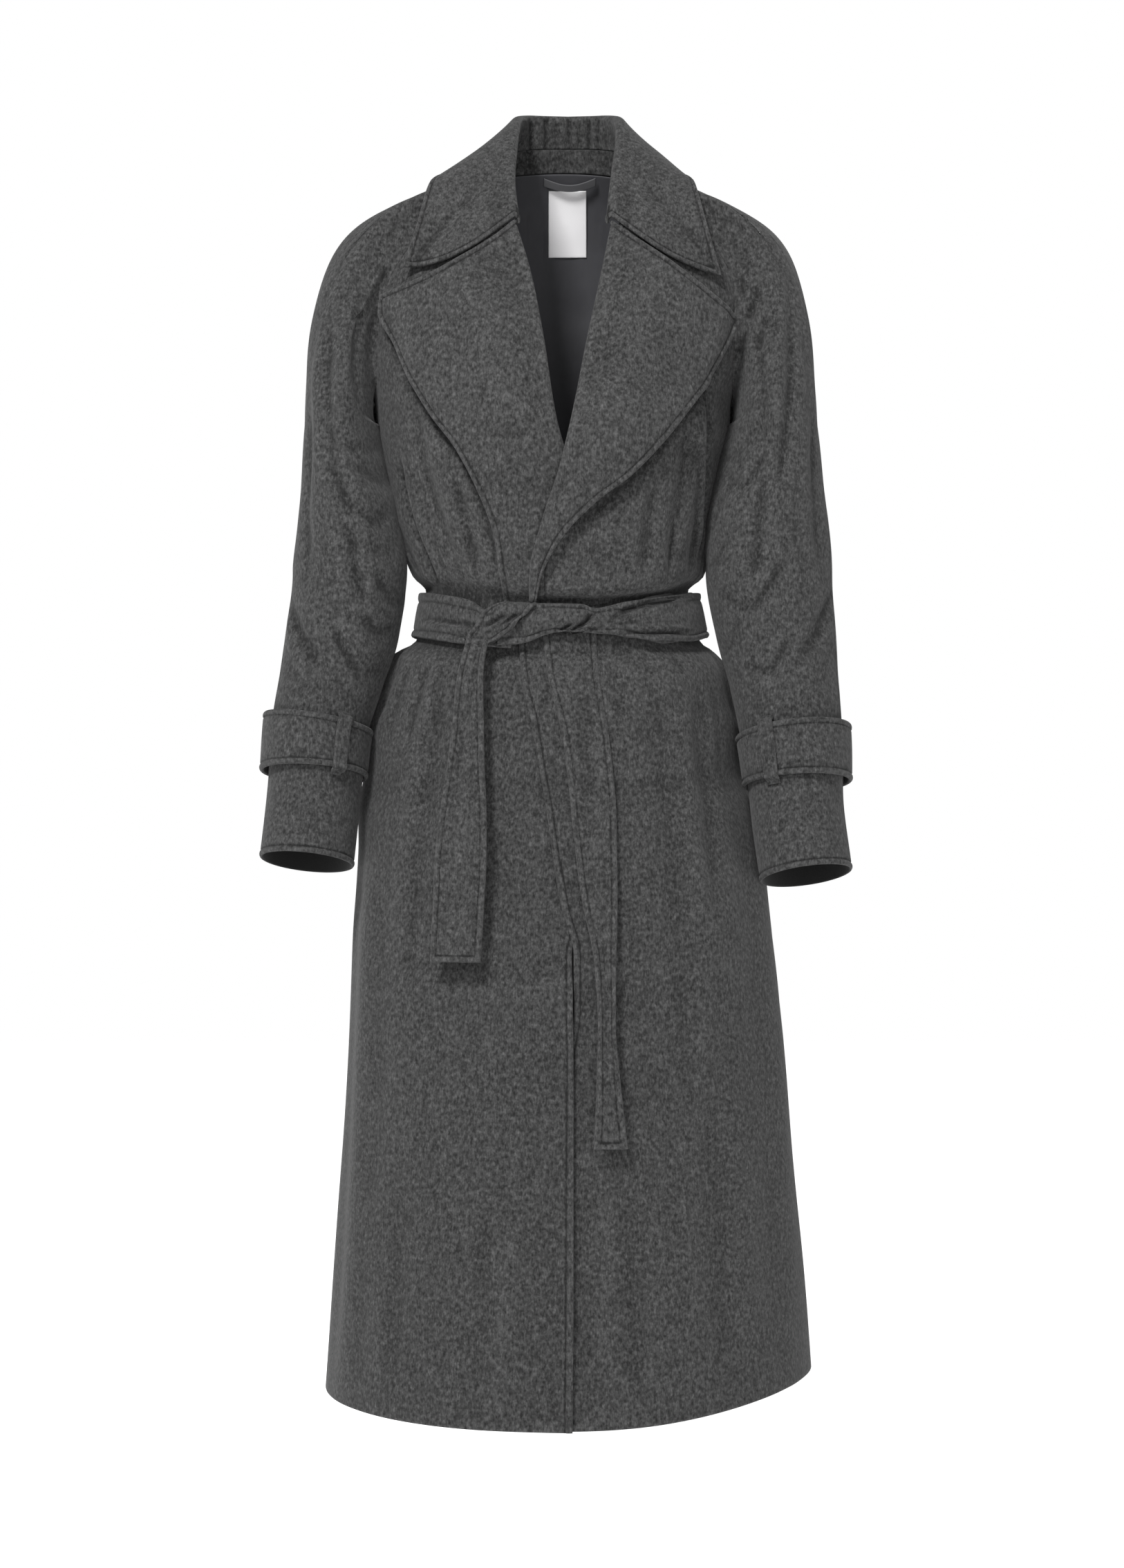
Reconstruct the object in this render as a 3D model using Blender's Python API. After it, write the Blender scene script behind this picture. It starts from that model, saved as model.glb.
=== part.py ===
"""Belted trench coat in thick wool, filled out as when it is worn.

The body is one hollow form, given by level sections. Fronts, back, lapels,
belt and lining are patches of that form at their own height above it, and the
raglan sleeves grow out of its armhole seams. Lengths in the tables are in
centimetres. +Z is up, -Y is the front and +X is the wearer's left. The origin
is the base of the neck, where the wearer's shoulders carry the coat.
"""

import math

import bmesh
import bpy
from mathutils import Vector

for old in list(bpy.data.objects):
    bpy.data.objects.remove(old)

COAT = bpy.data.collections.new("trench_coat")
bpy.context.scene.collection.children.link(COAT)

WOOL = ((0.075, 0.075, 0.078), 0.9)  # colour and roughness
SATIN = ((0.045, 0.045, 0.048), 0.5)
TAPE = ((0.62, 0.61, 0.63), 0.7)

CM = 0.01
CLOTH = 0.25  # one layer of coating wool
DOUBLE = 0.34  # two layers pressed together: lapels, collar, straps
LINING = 0.12
GAP = 0.035  # between pieces that touch
SEAM_PULL = 0.03  # how far a panel stops short of its seam line
ROUNDNESS = 2.3  # superellipse power of the body sections

HEM = -121.2
UNDERARM = -25.0
BELT_TOP = -42.3
BELT_BOTTOM = -47.2
BELT_DIP = 1.6  # the belt sits this much lower at the front
HEM_RISE = 2.0  # the hem is this much higher at the wearer's left
HEM_DROP = 0.8  # and this much lower at the centre front
SIDE = 90.0

# height, centre x, centre y, half width, depth to the front, depth to the back
BODY = (
    (-121.6, 0.70, 0.0, 24.2, 18.6, 17.6),
    (-110.0, 0.65, 0.0, 23.3, 17.8, 17.2),
    (-98.0, 0.50, 0.0, 22.4, 17.0, 16.7),
    (-87.0, 0.30, 0.0, 21.7, 16.2, 16.2),
    (-76.0, 0.05, 0.3, 20.9, 15.5, 15.4),
    (-72.0, 0.00, 0.7, 20.5, 15.4, 14.9),
    (-68.0, -0.15, 1.6, 20.1, 16.0, 13.7),
    (-64.0, -0.55, 2.4, 19.7, 16.4, 12.5),
    (-60.0, -0.85, 3.0, 18.8, 16.4, 11.4),
    (-56.0, -0.75, 3.0, 18.6, 16.0, 10.4),
    (-52.9, -0.65, 2.4, 17.8, 15.0, 10.4),
    (-50.2, -0.60, 1.5, 16.9, 13.7, 10.5),
    (-48.6, -0.75, 1.1, 15.8, 12.9, 10.2),
    (-47.2, -0.40, 0.6, 14.1, 11.7, 9.8),
    (-44.8, -0.45, 0.3, 13.5, 11.0, 9.6),
    (-42.3, -0.50, 0.4, 13.0, 11.0, 9.5),
    (-40.6, -0.45, 1.2, 14.3, 12.8, 9.6),
    (-38.0, -0.80, 2.4, 15.2, 14.6, 8.9),
    (-35.6, -0.95, 2.9, 15.9, 15.6, 8.8),
    (-33.0, -0.90, 3.0, 16.4, 15.9, 9.0),
    (-29.5, -1.00, 2.6, 17.0, 15.7, 9.7),
    (-26.5, -0.85, 1.9, 17.6, 14.9, 10.5),
    (-24.0, -0.90, 1.3, 17.7, 14.0, 11.2),
    (-19.0, -0.50, 0.4, 18.7, 12.3, 12.0),
    (-14.0, -0.20, 0.0, 18.9, 10.6, 12.1),
    (-10.0, 0.00, 0.0, 17.9, 9.2, 11.5),
    (-7.0, 0.05, 0.0, 15.9, 7.9, 10.7),
    (-4.5, 0.10, 0.0, 13.4, 6.6, 9.8),
    (-2.5, 0.15, 0.0, 11.2, 5.6, 9.0),
    (-1.0, 0.20, 0.0, 9.3, 4.8, 8.2),
    (0.5, 0.25, 0.0, 7.8, 4.2, 7.2),
)


def clamp(value, low=0.0, high=1.0):
    return max(low, min(high, value))


def ease(value, start, end):
    """0 before start, 1 after end, and a smooth step between them."""
    t = clamp((value - start) / (end - start))
    return t * t * (3.0 - 2.0 * t)


def mix(a, b, t):
    return a + (b - a) * t


class Track:
    """A smooth curve through the rows of a table, read by the first column."""

    def __init__(self, rows):
        self.rows = sorted(rows)
        self.slopes = [self._slope(i) for i in range(len(self.rows))]

    def _slope(self, i):
        rows = self.rows
        before = rows[max(i - 1, 0)]
        here = rows[i]
        after = rows[min(i + 1, len(rows) - 1)]
        slopes = []
        for column in range(1, len(here)):
            back = (here[column] - before[column]) / ((here[0] - before[0]) or 1.0)
            ahead = (after[column] - here[column]) / ((after[0] - here[0]) or 1.0)
            if before is here:
                slopes.append(ahead)
            elif after is here:
                slopes.append(back)
            elif back * ahead <= 0.0:
                slopes.append(0.0)
            else:
                slopes.append(2.0 * back * ahead / (back + ahead))
        return slopes

    def at(self, t):
        rows = self.rows
        t = clamp(t, rows[0][0], rows[-1][0])
        i = 0
        while i < len(rows) - 2 and rows[i + 1][0] < t:
            i += 1
        a, b = rows[i], rows[i + 1]
        span = b[0] - a[0]
        s = (t - a[0]) / span
        values = []
        for column in range(1, len(a)):
            m0 = self.slopes[i][column - 1] * span
            m1 = self.slopes[i + 1][column - 1] * span
            values.append(
                a[column] * (1 + 2 * s) * (1 - s) ** 2
                + m0 * s * (1 - s) ** 2
                + b[column] * s * s * (3 - 2 * s)
                - m1 * s * s * (1 - s)
            )
        return values


def signed_power(value, power):
    return math.copysign(abs(value) ** power, value)


BODY_TRACK = Track(BODY)


def belt_dip(turn):
    """How much lower the waist lies than at the sides, at this turn."""
    return BELT_DIP * max(0.0, math.cos(math.radians(turn))) ** 2


def waist_share(height):
    """1 round the belt, fading to 0 over the skirt and the chest."""
    return ease(height, -75.0, -50.0) * (1.0 - ease(height, -41.0, -22.0))


def hem_rise(turn, height):
    """The hem swings up towards the wearer's left side."""
    around = turn if turn <= 180.0 else turn - 360.0
    swing = ease(around, -5.0, 75.0) * (1.0 - ease(around, 110.0, 178.0))
    drop = HEM_DROP * max(0.0, math.cos(math.radians(around))) ** 3
    return (HEM_RISE * swing - drop) * (1.0 - ease(height, HEM, HEM + 26.0))


def body_section(turn, height):
    """The section values that hold at this turn and height."""
    return BODY_TRACK.at(height + belt_dip(turn) * waist_share(height))


def body_point(turn, height):
    """Outer surface of the body. turn is in degrees: 0 is the centre front,
    90 the wearer's left side and 180 the centre back."""
    centre, middle, half, front, back = body_section(turn, height)
    angle = math.radians(turn)
    power = 2.0 / ROUNDNESS
    depth = front if math.cos(angle) > 0.0 else back
    x = centre + half * signed_power(math.sin(angle), power)
    y = middle - depth * signed_power(math.cos(angle), power)
    return Vector((x, y, height))


def body_normal(turn, height):
    """Unit vector out of the body surface."""
    step = 0.6
    across = body_point(turn + step, height) - body_point(turn - step, height)
    up = body_point(turn, height + step) - body_point(turn, height - step)
    return across.cross(up).normalized()


def front_turn(x, height):
    """The turn at which the front of the body has this x at this height."""
    turn = 0.0
    for _ in range(3):
        centre, _, half, _, _ = body_section(turn, height)
        share = clamp((x - centre) / half, -0.9999, 0.9999)
        turn = math.degrees(math.asin(signed_power(share, ROUNDNESS / 2.0)))
    return turn


def back_turn(x, height):
    """The turn at which the back of the body has this x at this height."""
    centre, _, half, _, _ = body_section(180.0, height)
    share = clamp((x - centre) / half, -0.9999, 0.9999)
    return 180.0 - math.degrees(math.asin(signed_power(share, ROUNDNESS / 2.0)))


def on_body(turn, height, lift):
    return body_point(turn, height) + body_normal(turn, height) * lift


# --- free edges of the two fronts: height, x ---------------------------------

# The left front lies over the right one down to CROSSING, and under it below.
CROSSING = -80.0
EDGE_LEFT = Track((
    (-121.6, -0.9),
    (-100.0, -0.4),
    (-88.0, 0.35),
    (-82.5, 1.12),
    (-80.0, 1.12),
    (-77.5, 1.12),
    (-72.7, -0.13),
    (-63.0, -1.60),
    (-58.3, -2.40),
    (-54.9, -3.00),
    (-52.6, -3.60),
    (-48.2, -4.10),
    (-43.6, -3.10),
    (-40.7, -3.00),
    (-36.3, -1.95),
    (-31.4, -0.40),
    (-26.5, 0.80),
    (-18.8, 2.30),
    (-12.4, 3.65),
    (-6.7, 4.75),
))
EDGE_RIGHT = Track((
    (-121.6, 0.95),
    (-107.2, 1.05),
    (-88.0, 1.05),
    (-82.5, 0.98),
    (-80.0, 0.98),
    (-77.5, 0.98),
    (-72.7, 2.60),
    (-63.0, 4.30),
    (-54.9, 5.00),
    (-48.2, 5.20),
    (-43.6, 4.60),
    (-38.0, 2.90),
    (-32.0, 1.15),
    (-26.5, -0.45),
    (-18.8, -1.65),
    (-12.4, -2.85),
    (-6.6, -4.50),
))


def overlap_share(turn):
    """1 across the front, where the two fronts lie on each other, 0 at the sides."""
    return 1.0 - ease(abs(turn), 38.0, 70.0)


LAP = 0.34  # lift that lets one front pass over the other
LAPEL_LAP = 0.98  # lift that lets the left front pass over the right lapel too


def lift_left(turn, height):
    """How far the left front stands off the body form."""
    over = LAP * ease(height, CROSSING - 2.0, CROSSING + 2.0)
    lapel = ease(height + belt_dip(turn), BELT_TOP + 0.1, BELT_TOP + 1.3)
    over += (LAPEL_LAP - LAP) * lapel
    over *= 1.0 - ease(height, -27.0, -19.0)
    return over * overlap_share(turn)


def lift_right(turn, height):
    over = LAP * (1.0 - ease(height, CROSSING - 2.0, CROSSING + 2.0))
    return over * overlap_share(turn)


# --- armhole seams: share of the seam, height, distance from the centre ------

SEAM_FRONT_RIGHT = Track((
    (0.00, -25.0, 18.66),
    (0.14, -21.5, 18.20),
    (0.30, -17.0, 18.10),
    (0.46, -12.8, 17.30),
    (0.62, -8.8, 15.00),
    (0.80, -4.8, 11.60),
    (1.00, -1.3, 8.00),
))
SEAM_FRONT_LEFT = Track((
    (0.00, -25.0, 16.85),
    (0.14, -21.5, 16.80),
    (0.30, -17.0, 17.00),
    (0.46, -12.8, 16.90),
    (0.62, -8.8, 15.00),
    (0.80, -4.8, 11.60),
    (1.00, -1.3, 8.00),
))
SEAM_BACK = Track((
    (0.00, -25.0, 18.66),
    (0.14, -21.5, 18.00),
    (0.30, -17.0, 16.90),
    (0.46, -12.6, 15.00),
    (0.62, -8.4, 12.40),
    (0.80, -4.0, 9.40),
    (1.00, -0.3, 6.60),
))


def seam_front(side, share):
    """Turn and height on the front armhole seam, from the underarm up."""
    track = SEAM_FRONT_LEFT if side > 0 else SEAM_FRONT_RIGHT
    height, reach = track.at(share)
    turn = front_turn(side * reach, height)
    return mix(side * SIDE, turn, ease(share, 0.0, 0.12)), height


def seam_back(side, share):
    height, reach = SEAM_BACK.at(share)
    turn = back_turn(side * reach, height)
    if side < 0:
        turn -= 360.0
    return mix(side * SIDE, turn, ease(share, 0.0, 0.12)), height


# --- building a cloth panel ---------------------------------------------------


def material(name, cloth):
    colour, roughness = cloth
    mat = bpy.data.materials.new(name)
    mat.use_nodes = True
    shader = mat.node_tree.nodes["Principled BSDF"]
    shader.inputs["Base Color"].default_value = (*colour, 1.0)
    shader.inputs["Roughness"].default_value = roughness
    shader.inputs["Metallic"].default_value = 0.0
    return mat


def shell(name, columns, rows, place, cloth):
    """A panel of cloth: a flat grid and its copy, bridged along the rim, laid
    into place. place(u, v, inner) gives the point in centimetres for the share
    u across, the share v up, and inner 0 for the outer side or 1 for the inner."""
    bm = bmesh.new()
    bmesh.ops.create_grid(bm, x_segments=columns, y_segments=rows, size=0.5)
    raised = bmesh.ops.extrude_face_region(bm, geom=bm.faces[:])["geom"]
    second = [g for g in raised if isinstance(g, bmesh.types.BMVert)]
    bmesh.ops.translate(bm, verts=second, vec=(0.0, 0.0, 1.0))
    for vert in bm.verts:
        u, v, inner = vert.co.x + 0.5, vert.co.y + 0.5, vert.co.z
        vert.co = Vector(place(u, v, round(inner))) * CM
    finish(name, bm, material(name, cloth))


def finish(name, bm, mat):
    bmesh.ops.recalc_face_normals(bm, faces=bm.faces[:])
    if bm.calc_volume(signed=True) < 0.0:
        bmesh.ops.reverse_faces(bm, faces=bm.faces[:])
    bmesh.ops.triangulate(bm, faces=bm.faces[:])
    mesh = bpy.data.meshes.new(name)
    bm.to_mesh(mesh)
    bm.free()
    mesh.materials.append(mat)
    obj = bpy.data.objects.new(name, mesh)
    COAT.objects.link(obj)


def pulled(share, width):
    """The share with both ends drawn in by SEAM_PULL on a line of this width."""
    pull = SEAM_PULL / width
    return pull + share * (1.0 - 2.0 * pull)


# heights of the panel rows below the underarm
ROWS_LOW = (
    HEM, -109.0, -97.0, -86.0, -82.5, -77.5, -71.0, -65.0, -59.0, -54.0,
    -50.6, -48.6, BELT_BOTTOM, -44.8, BELT_TOP, -41.0, -38.6, -34.5, -29.5, UNDERARM,
)
ROWS_HIGH = 7
ROW_COUNT = len(ROWS_LOW) - 1 + ROWS_HIGH


def row_position(v):
    """(height, None) on a low row, or (None, share of the armhole seam)."""
    row = v * ROW_COUNT
    low = len(ROWS_LOW) - 1
    if row <= low + 1e-6:
        i = min(int(row + 1e-6), low - 1)
        return mix(ROWS_LOW[i], ROWS_LOW[i + 1], row - i), None
    return None, (row - low) / ROWS_HIGH


ROLL_INSET = 0.85  # a front stops this far inside the lapel's roll


def front_panel(side):
    """Returns place(u, v, inner) of the front: u runs from the side or armhole
    seam to the free edge, v from the hem to the neck."""
    edge = EDGE_LEFT if side > 0 else EDGE_RIGHT
    lift = lift_left if side > 0 else lift_right
    neck_height = edge.rows[-1][0]

    def place(u, v, inner):
        u = pulled(u, 7.0)
        height, share = row_position(v)
        if share is None:
            start = (side * SIDE, height)
            end_height = height
        else:
            start = seam_front(side, share * (1.0 - SEAM_PULL / 30.0))
            end_height = mix(UNDERARM, neck_height, share)
        end_low = end_height - BELT_DIP * waist_share(end_height)
        inset = ROLL_INSET * ease(end_low, BELT_TOP - BELT_DIP - 1.0, BELT_TOP - BELT_DIP)
        end_x = edge.at(end_low)[0] + side * inset
        turn = mix(start[0], front_turn(end_x, end_low), u)
        height = mix(start[1], end_height, ease(u, 0.0, 1.0))
        height -= belt_dip(turn) * waist_share(height)
        height += hem_rise(turn, height)
        return on_body(turn, height, lift(turn, height) - inner * CLOTH)

    return place


BACK_NECK = -0.2
BACK_COLUMNS = 14
HALF_BACK_WIDTH = 22.5  # how wide each half of the back is, about, for its seam pull


def back_cloth():
    """The whole back: u runs from the wearer's left side round to the right."""

    def place(u, v, inner):
        height, share = row_position(v)
        side = 1 if u < 0.5 else -1
        if share is None:
            seam_turn, seam_height = side * SIDE, height
            middle = height
        else:
            seam_turn, seam_height = seam_back(side, share * (1.0 - SEAM_PULL / 30.0))
            middle = mix(UNDERARM, BACK_NECK, share)
        half = abs(2.0 * u - 1.0)
        turn = mix(side * 180.0, seam_turn, half)
        height = mix(middle, seam_height, half * half)
        height += hem_rise(turn, height)
        return on_body(turn, height, -inner * CLOTH)

    return place


def half_back(side):
    """One half of the back, with its share of the centre back seam."""
    cloth = back_cloth()

    def place(u, v, inner):
        across = 0.5 * pulled(u, HALF_BACK_WIDTH)
        return cloth(across if side > 0 else 0.5 + across, v, inner)

    return place

# --- sleeves -------------------------------------------------------------------

# height, x, y, half width, half depth: sections of the arm from bicep to cuff
ARM_RIGHT = (
    (-26.0, 21.85, -1.4, 3.45, 7.5),
    (-31.0, 21.6, -1.8, 4.15, 7.0),
    (-36.0, 21.2, -2.6, 4.95, 6.4),
    (-40.5, 20.95, -2.8, 5.65, 5.8),
    (-46.0, 21.6, -2.8, 5.60, 5.5),
    (-51.0, 22.7, -3.0, 5.10, 5.4),
    (-56.0, 23.8, -3.6, 4.75, 5.4),
    (-62.0, 24.25, -4.6, 4.60, 5.3),
    (-69.0, 24.9, -6.1, 4.60, 5.3),
)
ARM_LEFT = (
    (-26.0, 20.9, -1.4, 4.25, 7.5),
    (-31.0, 20.6, -1.8, 5.10, 7.0),
    (-36.0, 20.3, -2.6, 5.85, 6.4),
    (-41.0, 20.4, -2.9, 6.15, 5.8),
    (-46.0, 21.0, -3.1, 5.90, 5.5),
    (-51.0, 21.8, -3.6, 5.40, 5.4),
    (-58.0, 22.6, -4.9, 4.90, 5.3),
    (-64.0, 22.95, -6.0, 4.55, 5.3),
    (-70.3, 23.7, -7.4, 4.50, 5.3),
)

# angle round the arm, then the pull of the cap out of the armhole seam:
# outwards, forwards, upwards; the pull with which it comes down the arm; and
# the pull along the body surface, square to the seam
CAP = Track((
    (0.0, 36.0, 0.0, -12.5, 66.0, 0.0),
    (35.0, 26.0, 3.0, -7.0, 46.0, 6.0),
    (70.0, 6.0, 3.0, -2.0, 22.0, 12.0),
    (110.0, 1.0, 2.0, -2.0, 12.0, 6.0),
    (150.0, 0.5, 0.0, -2.0, 4.0, 2.5),
    (180.0, 1.5, 0.0, -1.0, 1.0, 0.5),
    (210.0, 0.5, 0.0, -2.0, 4.0, 2.5),
    (250.0, 1.0, -2.0, -2.0, 12.0, 6.0),
    (290.0, 6.0, -3.0, -2.0, 22.0, 12.0),
    (325.0, 26.0, -3.0, -6.0, 46.0, 6.0),
    (360.0, 36.0, 0.0, -12.5, 66.0, 0.0),
))
NECK_ANGLE = 26.0  # half of the arc of the sleeve that is sewn into the neck


class Sleeve:
    """One raglan sleeve. An angle of 0 is the outside of the arm, 90 its front,
    180 the inside against the body and 270 its back."""

    def __init__(self, side):
        self.side = side
        rows = ARM_LEFT if side > 0 else ARM_RIGHT
        self.track = Track([(-row[0], *row[1:]) for row in rows])
        self.top = self.track.rows[0][0]
        self.end = self.track.rows[-1][0]

    def centre(self, drop):
        x, y, _, _ = self.track.at(drop)
        return Vector((self.side * x, y, -drop))

    def axes(self, drop):
        """Unit vectors outwards, forwards and down along the arm at a section."""
        step = 0.8
        low = min(drop + step, self.end)
        high = max(drop - step, self.top)
        down = (self.centre(low) - self.centre(high)).normalized()
        straight = Vector((0.0, 0.0, -1.0))
        down = mix(straight, down, ease(drop, self.top, self.top + 12.0)).normalized()
        forward = Vector((0.0, -1.0, 0.0))
        forward = (forward - down * forward.dot(down)).normalized()
        outward = down.cross(forward) * -self.side
        if outward.x * self.side < 0.0:
            outward = -outward
        return outward, forward, down

    def arm_point(self, angle, drop):
        _, _, half, deep = self.track.at(drop)
        outward, forward, _ = self.axes(drop)
        a = math.radians(angle)
        return self.centre(drop) + outward * (half * math.cos(a)) + forward * (deep * math.sin(a))

    def armhole(self, angle):
        """The point of the armhole loop that this angle of the sleeve grows from."""
        angle %= 360.0
        if angle < NECK_ANGLE or angle > 360.0 - NECK_ANGLE:
            return self.neck_arc(angle if angle < 180.0 else angle - 360.0)
        if angle <= 180.0:
            share = (180.0 - angle) / (180.0 - NECK_ANGLE)
            turn, height = seam_front(self.side, share)
        else:
            share = (angle - 180.0) / (180.0 - NECK_ANGLE)
            turn, height = seam_back(self.side, share)
        return body_point(turn, height)

    def neck_arc(self, angle):
        """The short stretch of the neck seam between the two armhole seams."""
        front = body_point(*seam_front(self.side, 1.0))
        back = body_point(*seam_back(self.side, 1.0))
        share = 0.5 - 0.5 * angle / NECK_ANGLE
        point = mix(front, back, share)
        point.x += self.side * 0.5 * math.sin(math.pi * share)
        point.z += 0.25 * math.sin(math.pi * share)
        return point

    def away(self, angle):
        """Unit vector in the body surface, square to the armhole seam, that
        points off the body panel."""
        seam = self.armhole(angle + 1.0) - self.armhole(angle - 1.0)
        angle %= 360.0
        if angle <= 180.0:
            share = min((180.0 - angle) / (180.0 - NECK_ANGLE), 1.0)
            turn, height = seam_front(self.side, share)
        else:
            share = min((angle - 180.0) / (180.0 - NECK_ANGLE), 1.0)
            turn, height = seam_back(self.side, share)
        across = seam.cross(body_normal(turn, height)).normalized()
        side_point = body_point(self.side * SIDE, height) - body_point(turn, height)
        if abs(angle - 180.0) < 12.0:
            side_point = Vector((0.0, 0.0, -1.0))
        return across if across.dot(side_point) > 0.0 else -across

    def cap_point(self, angle, share):
        out, forward, up, down_pull, along_body = CAP.at(angle % 360.0)
        start = self.armhole(angle)
        end = self.arm_point(angle, self.top)
        leave = Vector((self.side * out, -forward, up)) + self.away(angle) * along_body
        _, _, down = self.axes(self.top)
        arrive = down * down_pull
        s = share
        return (
            start * ((1 + 2 * s) * (1 - s) ** 2)
            + leave * (s * (1 - s) ** 2)
            + end * (s * s * (3 - 2 * s))
            - arrive * (s * s * (1 - s))
        )

    def surface(self, angle, travel):
        """travel 0 to 1 crosses the cap, 1 to 2 goes down the arm."""
        if travel <= 1.0:
            return self.cap_point(angle, travel)
        return self.arm_point(angle, mix(self.top, self.end, travel - 1.0))

    def normal(self, angle, travel):
        step = 0.02
        low = clamp(travel - step, 0.0, 2.0)
        high = clamp(travel + step, 0.0, 2.0)
        round_arm = self.surface(angle + 2.0, travel) - self.surface(angle - 2.0, travel)
        along = self.surface(angle, high) - self.surface(angle, low)
        normal = round_arm.cross(along).normalized()
        outward, forward, _ = self.axes(self.top)
        a = math.radians(angle)
        guess = outward * math.cos(a) + forward * math.sin(a)
        return normal if normal.dot(guess) > 0.0 else -normal


SLEEVE_ROWS_CAP = 7
SLEEVE_ROWS_ARM = 9
SLEEVE_COLUMNS = 9
CAP_LENGTH = 12.0
UNDERARM_FOLD = 7.0  # angle by which the sleeve halves part at the armhole
OVERARM_SEAM = 16.0  # angle of the seam that runs down the outside of the arm


def sleeve_panel(sleeve, front):
    """Half a sleeve: v runs from the armhole to the cuff, u from the overarm
    seam to the underarm seam."""
    rows = SLEEVE_ROWS_CAP + SLEEVE_ROWS_ARM
    start, end = (OVERARM_SEAM, 180.0) if front else (OVERARM_SEAM, -180.0)

    def place(u, v, inner):
        row = v * rows
        if row <= SLEEVE_ROWS_CAP:
            travel = mix(7.0 * SEAM_PULL / CAP_LENGTH, 1.0, row / SLEEVE_ROWS_CAP)
        else:
            travel = 1.0 + (row - SLEEVE_ROWS_CAP) / SLEEVE_ROWS_ARM
        fold = UNDERARM_FOLD * (1.0 - ease(travel, 0.0, 0.7))
        last = end - math.copysign(fold, end)
        angle = mix(start, last, pulled(u, 18.0))
        point = sleeve.surface(angle, travel)
        return point - sleeve.normal(angle, travel) * (inner * CLOTH)

    return place


# --- lapels: the turned fronts ---------------------------------------------------

# share of the lapel from its break up to the gorge, height of the roll, x and
# height of the outer edge
LAPEL_LEFT = Track((
    (0.00, -43.3, -2.45, -43.4),
    (0.08, -41.8, -2.00, -41.7),
    (0.17, -39.0, -0.85, -39.0),
    (0.28, -35.6, 1.15, -36.4),
    (0.38, -32.5, 3.20, -34.4),
    (0.48, -29.0, 5.75, -32.2),
    (0.63, -23.0, 9.10, -28.2),
    (0.80, -15.5, 12.90, -23.0),
    (0.91, -10.5, 15.30, -19.0),
    (1.00, -6.8, 16.50, -16.2),
))
LAPEL_RIGHT = Track((
    (0.00, -40.9, -5.60, -42.7),
    (0.10, -39.3, -5.95, -40.9),
    (0.22, -36.0, -6.40, -37.8),
    (0.36, -31.5, -8.10, -33.1),
    (0.48, -27.5, -10.00, -29.3),
    (0.58, -24.0, -12.20, -26.0),
    (0.78, -16.0, -15.30, -19.5),
    (0.92, -9.8, -16.85, -15.7),
    (1.00, -6.7, -16.70, -14.1),
))
GORGE_BOW = {1: 0.25, -1: 1.2}  # how far the top edge of each lapel dips
LAPEL_GAP = 0.14
LAPEL_STAND = 0.30  # how far the loose part of a lapel stands off
LAPEL_COLUMNS = 7
ROLL_CURL = 0.35  # width of the rounded roll


def lapel(side):
    """u runs from the roll to the outer edge, v from the break to the gorge."""
    track = LAPEL_LEFT if side > 0 else LAPEL_RIGHT
    edge = EDGE_LEFT if side > 0 else EDGE_RIGHT
    base = lift_left if side > 0 else lift_right

    def place(u, v, inner):
        roll_height, tip_x, tip_height = track.at(v)
        roll_x = edge.at(roll_height)[0]
        width = math.hypot(tip_x - roll_x, tip_height - roll_height)
        curl = min(ROLL_CURL / width, 0.5)
        first = 1.0 / LAPEL_COLUMNS
        if u <= first:
            across = curl * u / first
        else:
            across = mix(curl, 1.0, (u - first) / (1.0 - first))
        x = mix(roll_x, tip_x, across)
        height = mix(roll_height, tip_height, across)
        height -= GORGE_BOW[side] * math.sin(math.pi * across) * ease(v, 0.8, 1.0)
        turn = front_turn(x, height)
        break_lift = 0.9 * (1.0 - ease(height, -41.0, -38.0))
        rest = base(turn, height + break_lift) + LAPEL_GAP
        loose = ease(height, -33.0, -22.0) if side < 0 else ease(height, -42.0, -34.0)
        rest += LAPEL_STAND * loose * ease(across, 0.0, 0.5)
        lowest = -CLOTH - 0.05
        if side > 0 and height < -27.0:
            lowest = LAPEL_GAP + (DOUBLE + 0.12) * ease(height, -43.3, -42.5)
        lift = mix(max(rest - 0.45, lowest), rest, min(u / first, 1.0))
        return on_body(turn, height, lift + (1.0 - inner) * DOUBLE)

    return place


# --- collar ------------------------------------------------------------------------

# share from the centre back to the front end, then the roll and the outer
# edge of the leaf, each as x, y, z
COLLAR = Track((
    (0.00, 0.00, 6.7, 6.2, 0.0, 11.1, -2.9),
    (0.22, 3.25, 6.0, 6.15, 6.2, 10.0, -3.0),
    (0.42, 4.95, 3.6, 5.6, 10.2, 6.8, -1.75),
    (0.56, 5.30, 0.9, 4.6, 12.0, 2.2, -1.0),
    (0.70, 5.40, -2.0, 2.3, 12.9, -3.5, -2.3),
    (0.85, 5.20, -5.2, -1.9, 14.3, -7.0, -7.7),
    (1.00, 4.65, -8.2, -6.25, 15.5, -7.6, -12.1),
))
COLLAR_SHIFT = 0.6  # the collar's top stands this much to the wearer's left
BACK_SHARE = 0.42  # shares of the neck seam where the back and the fronts end
FRONT_SHARE = 0.56
COLLAR_BOW = {1: 1.0, -1: 1.5}  # dip of the front edge between gorge and tip
ROLL_RADIUS = 0.46
STAND_SHARE = 0.47  # the seam between stand and collar, from the foot up


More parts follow.
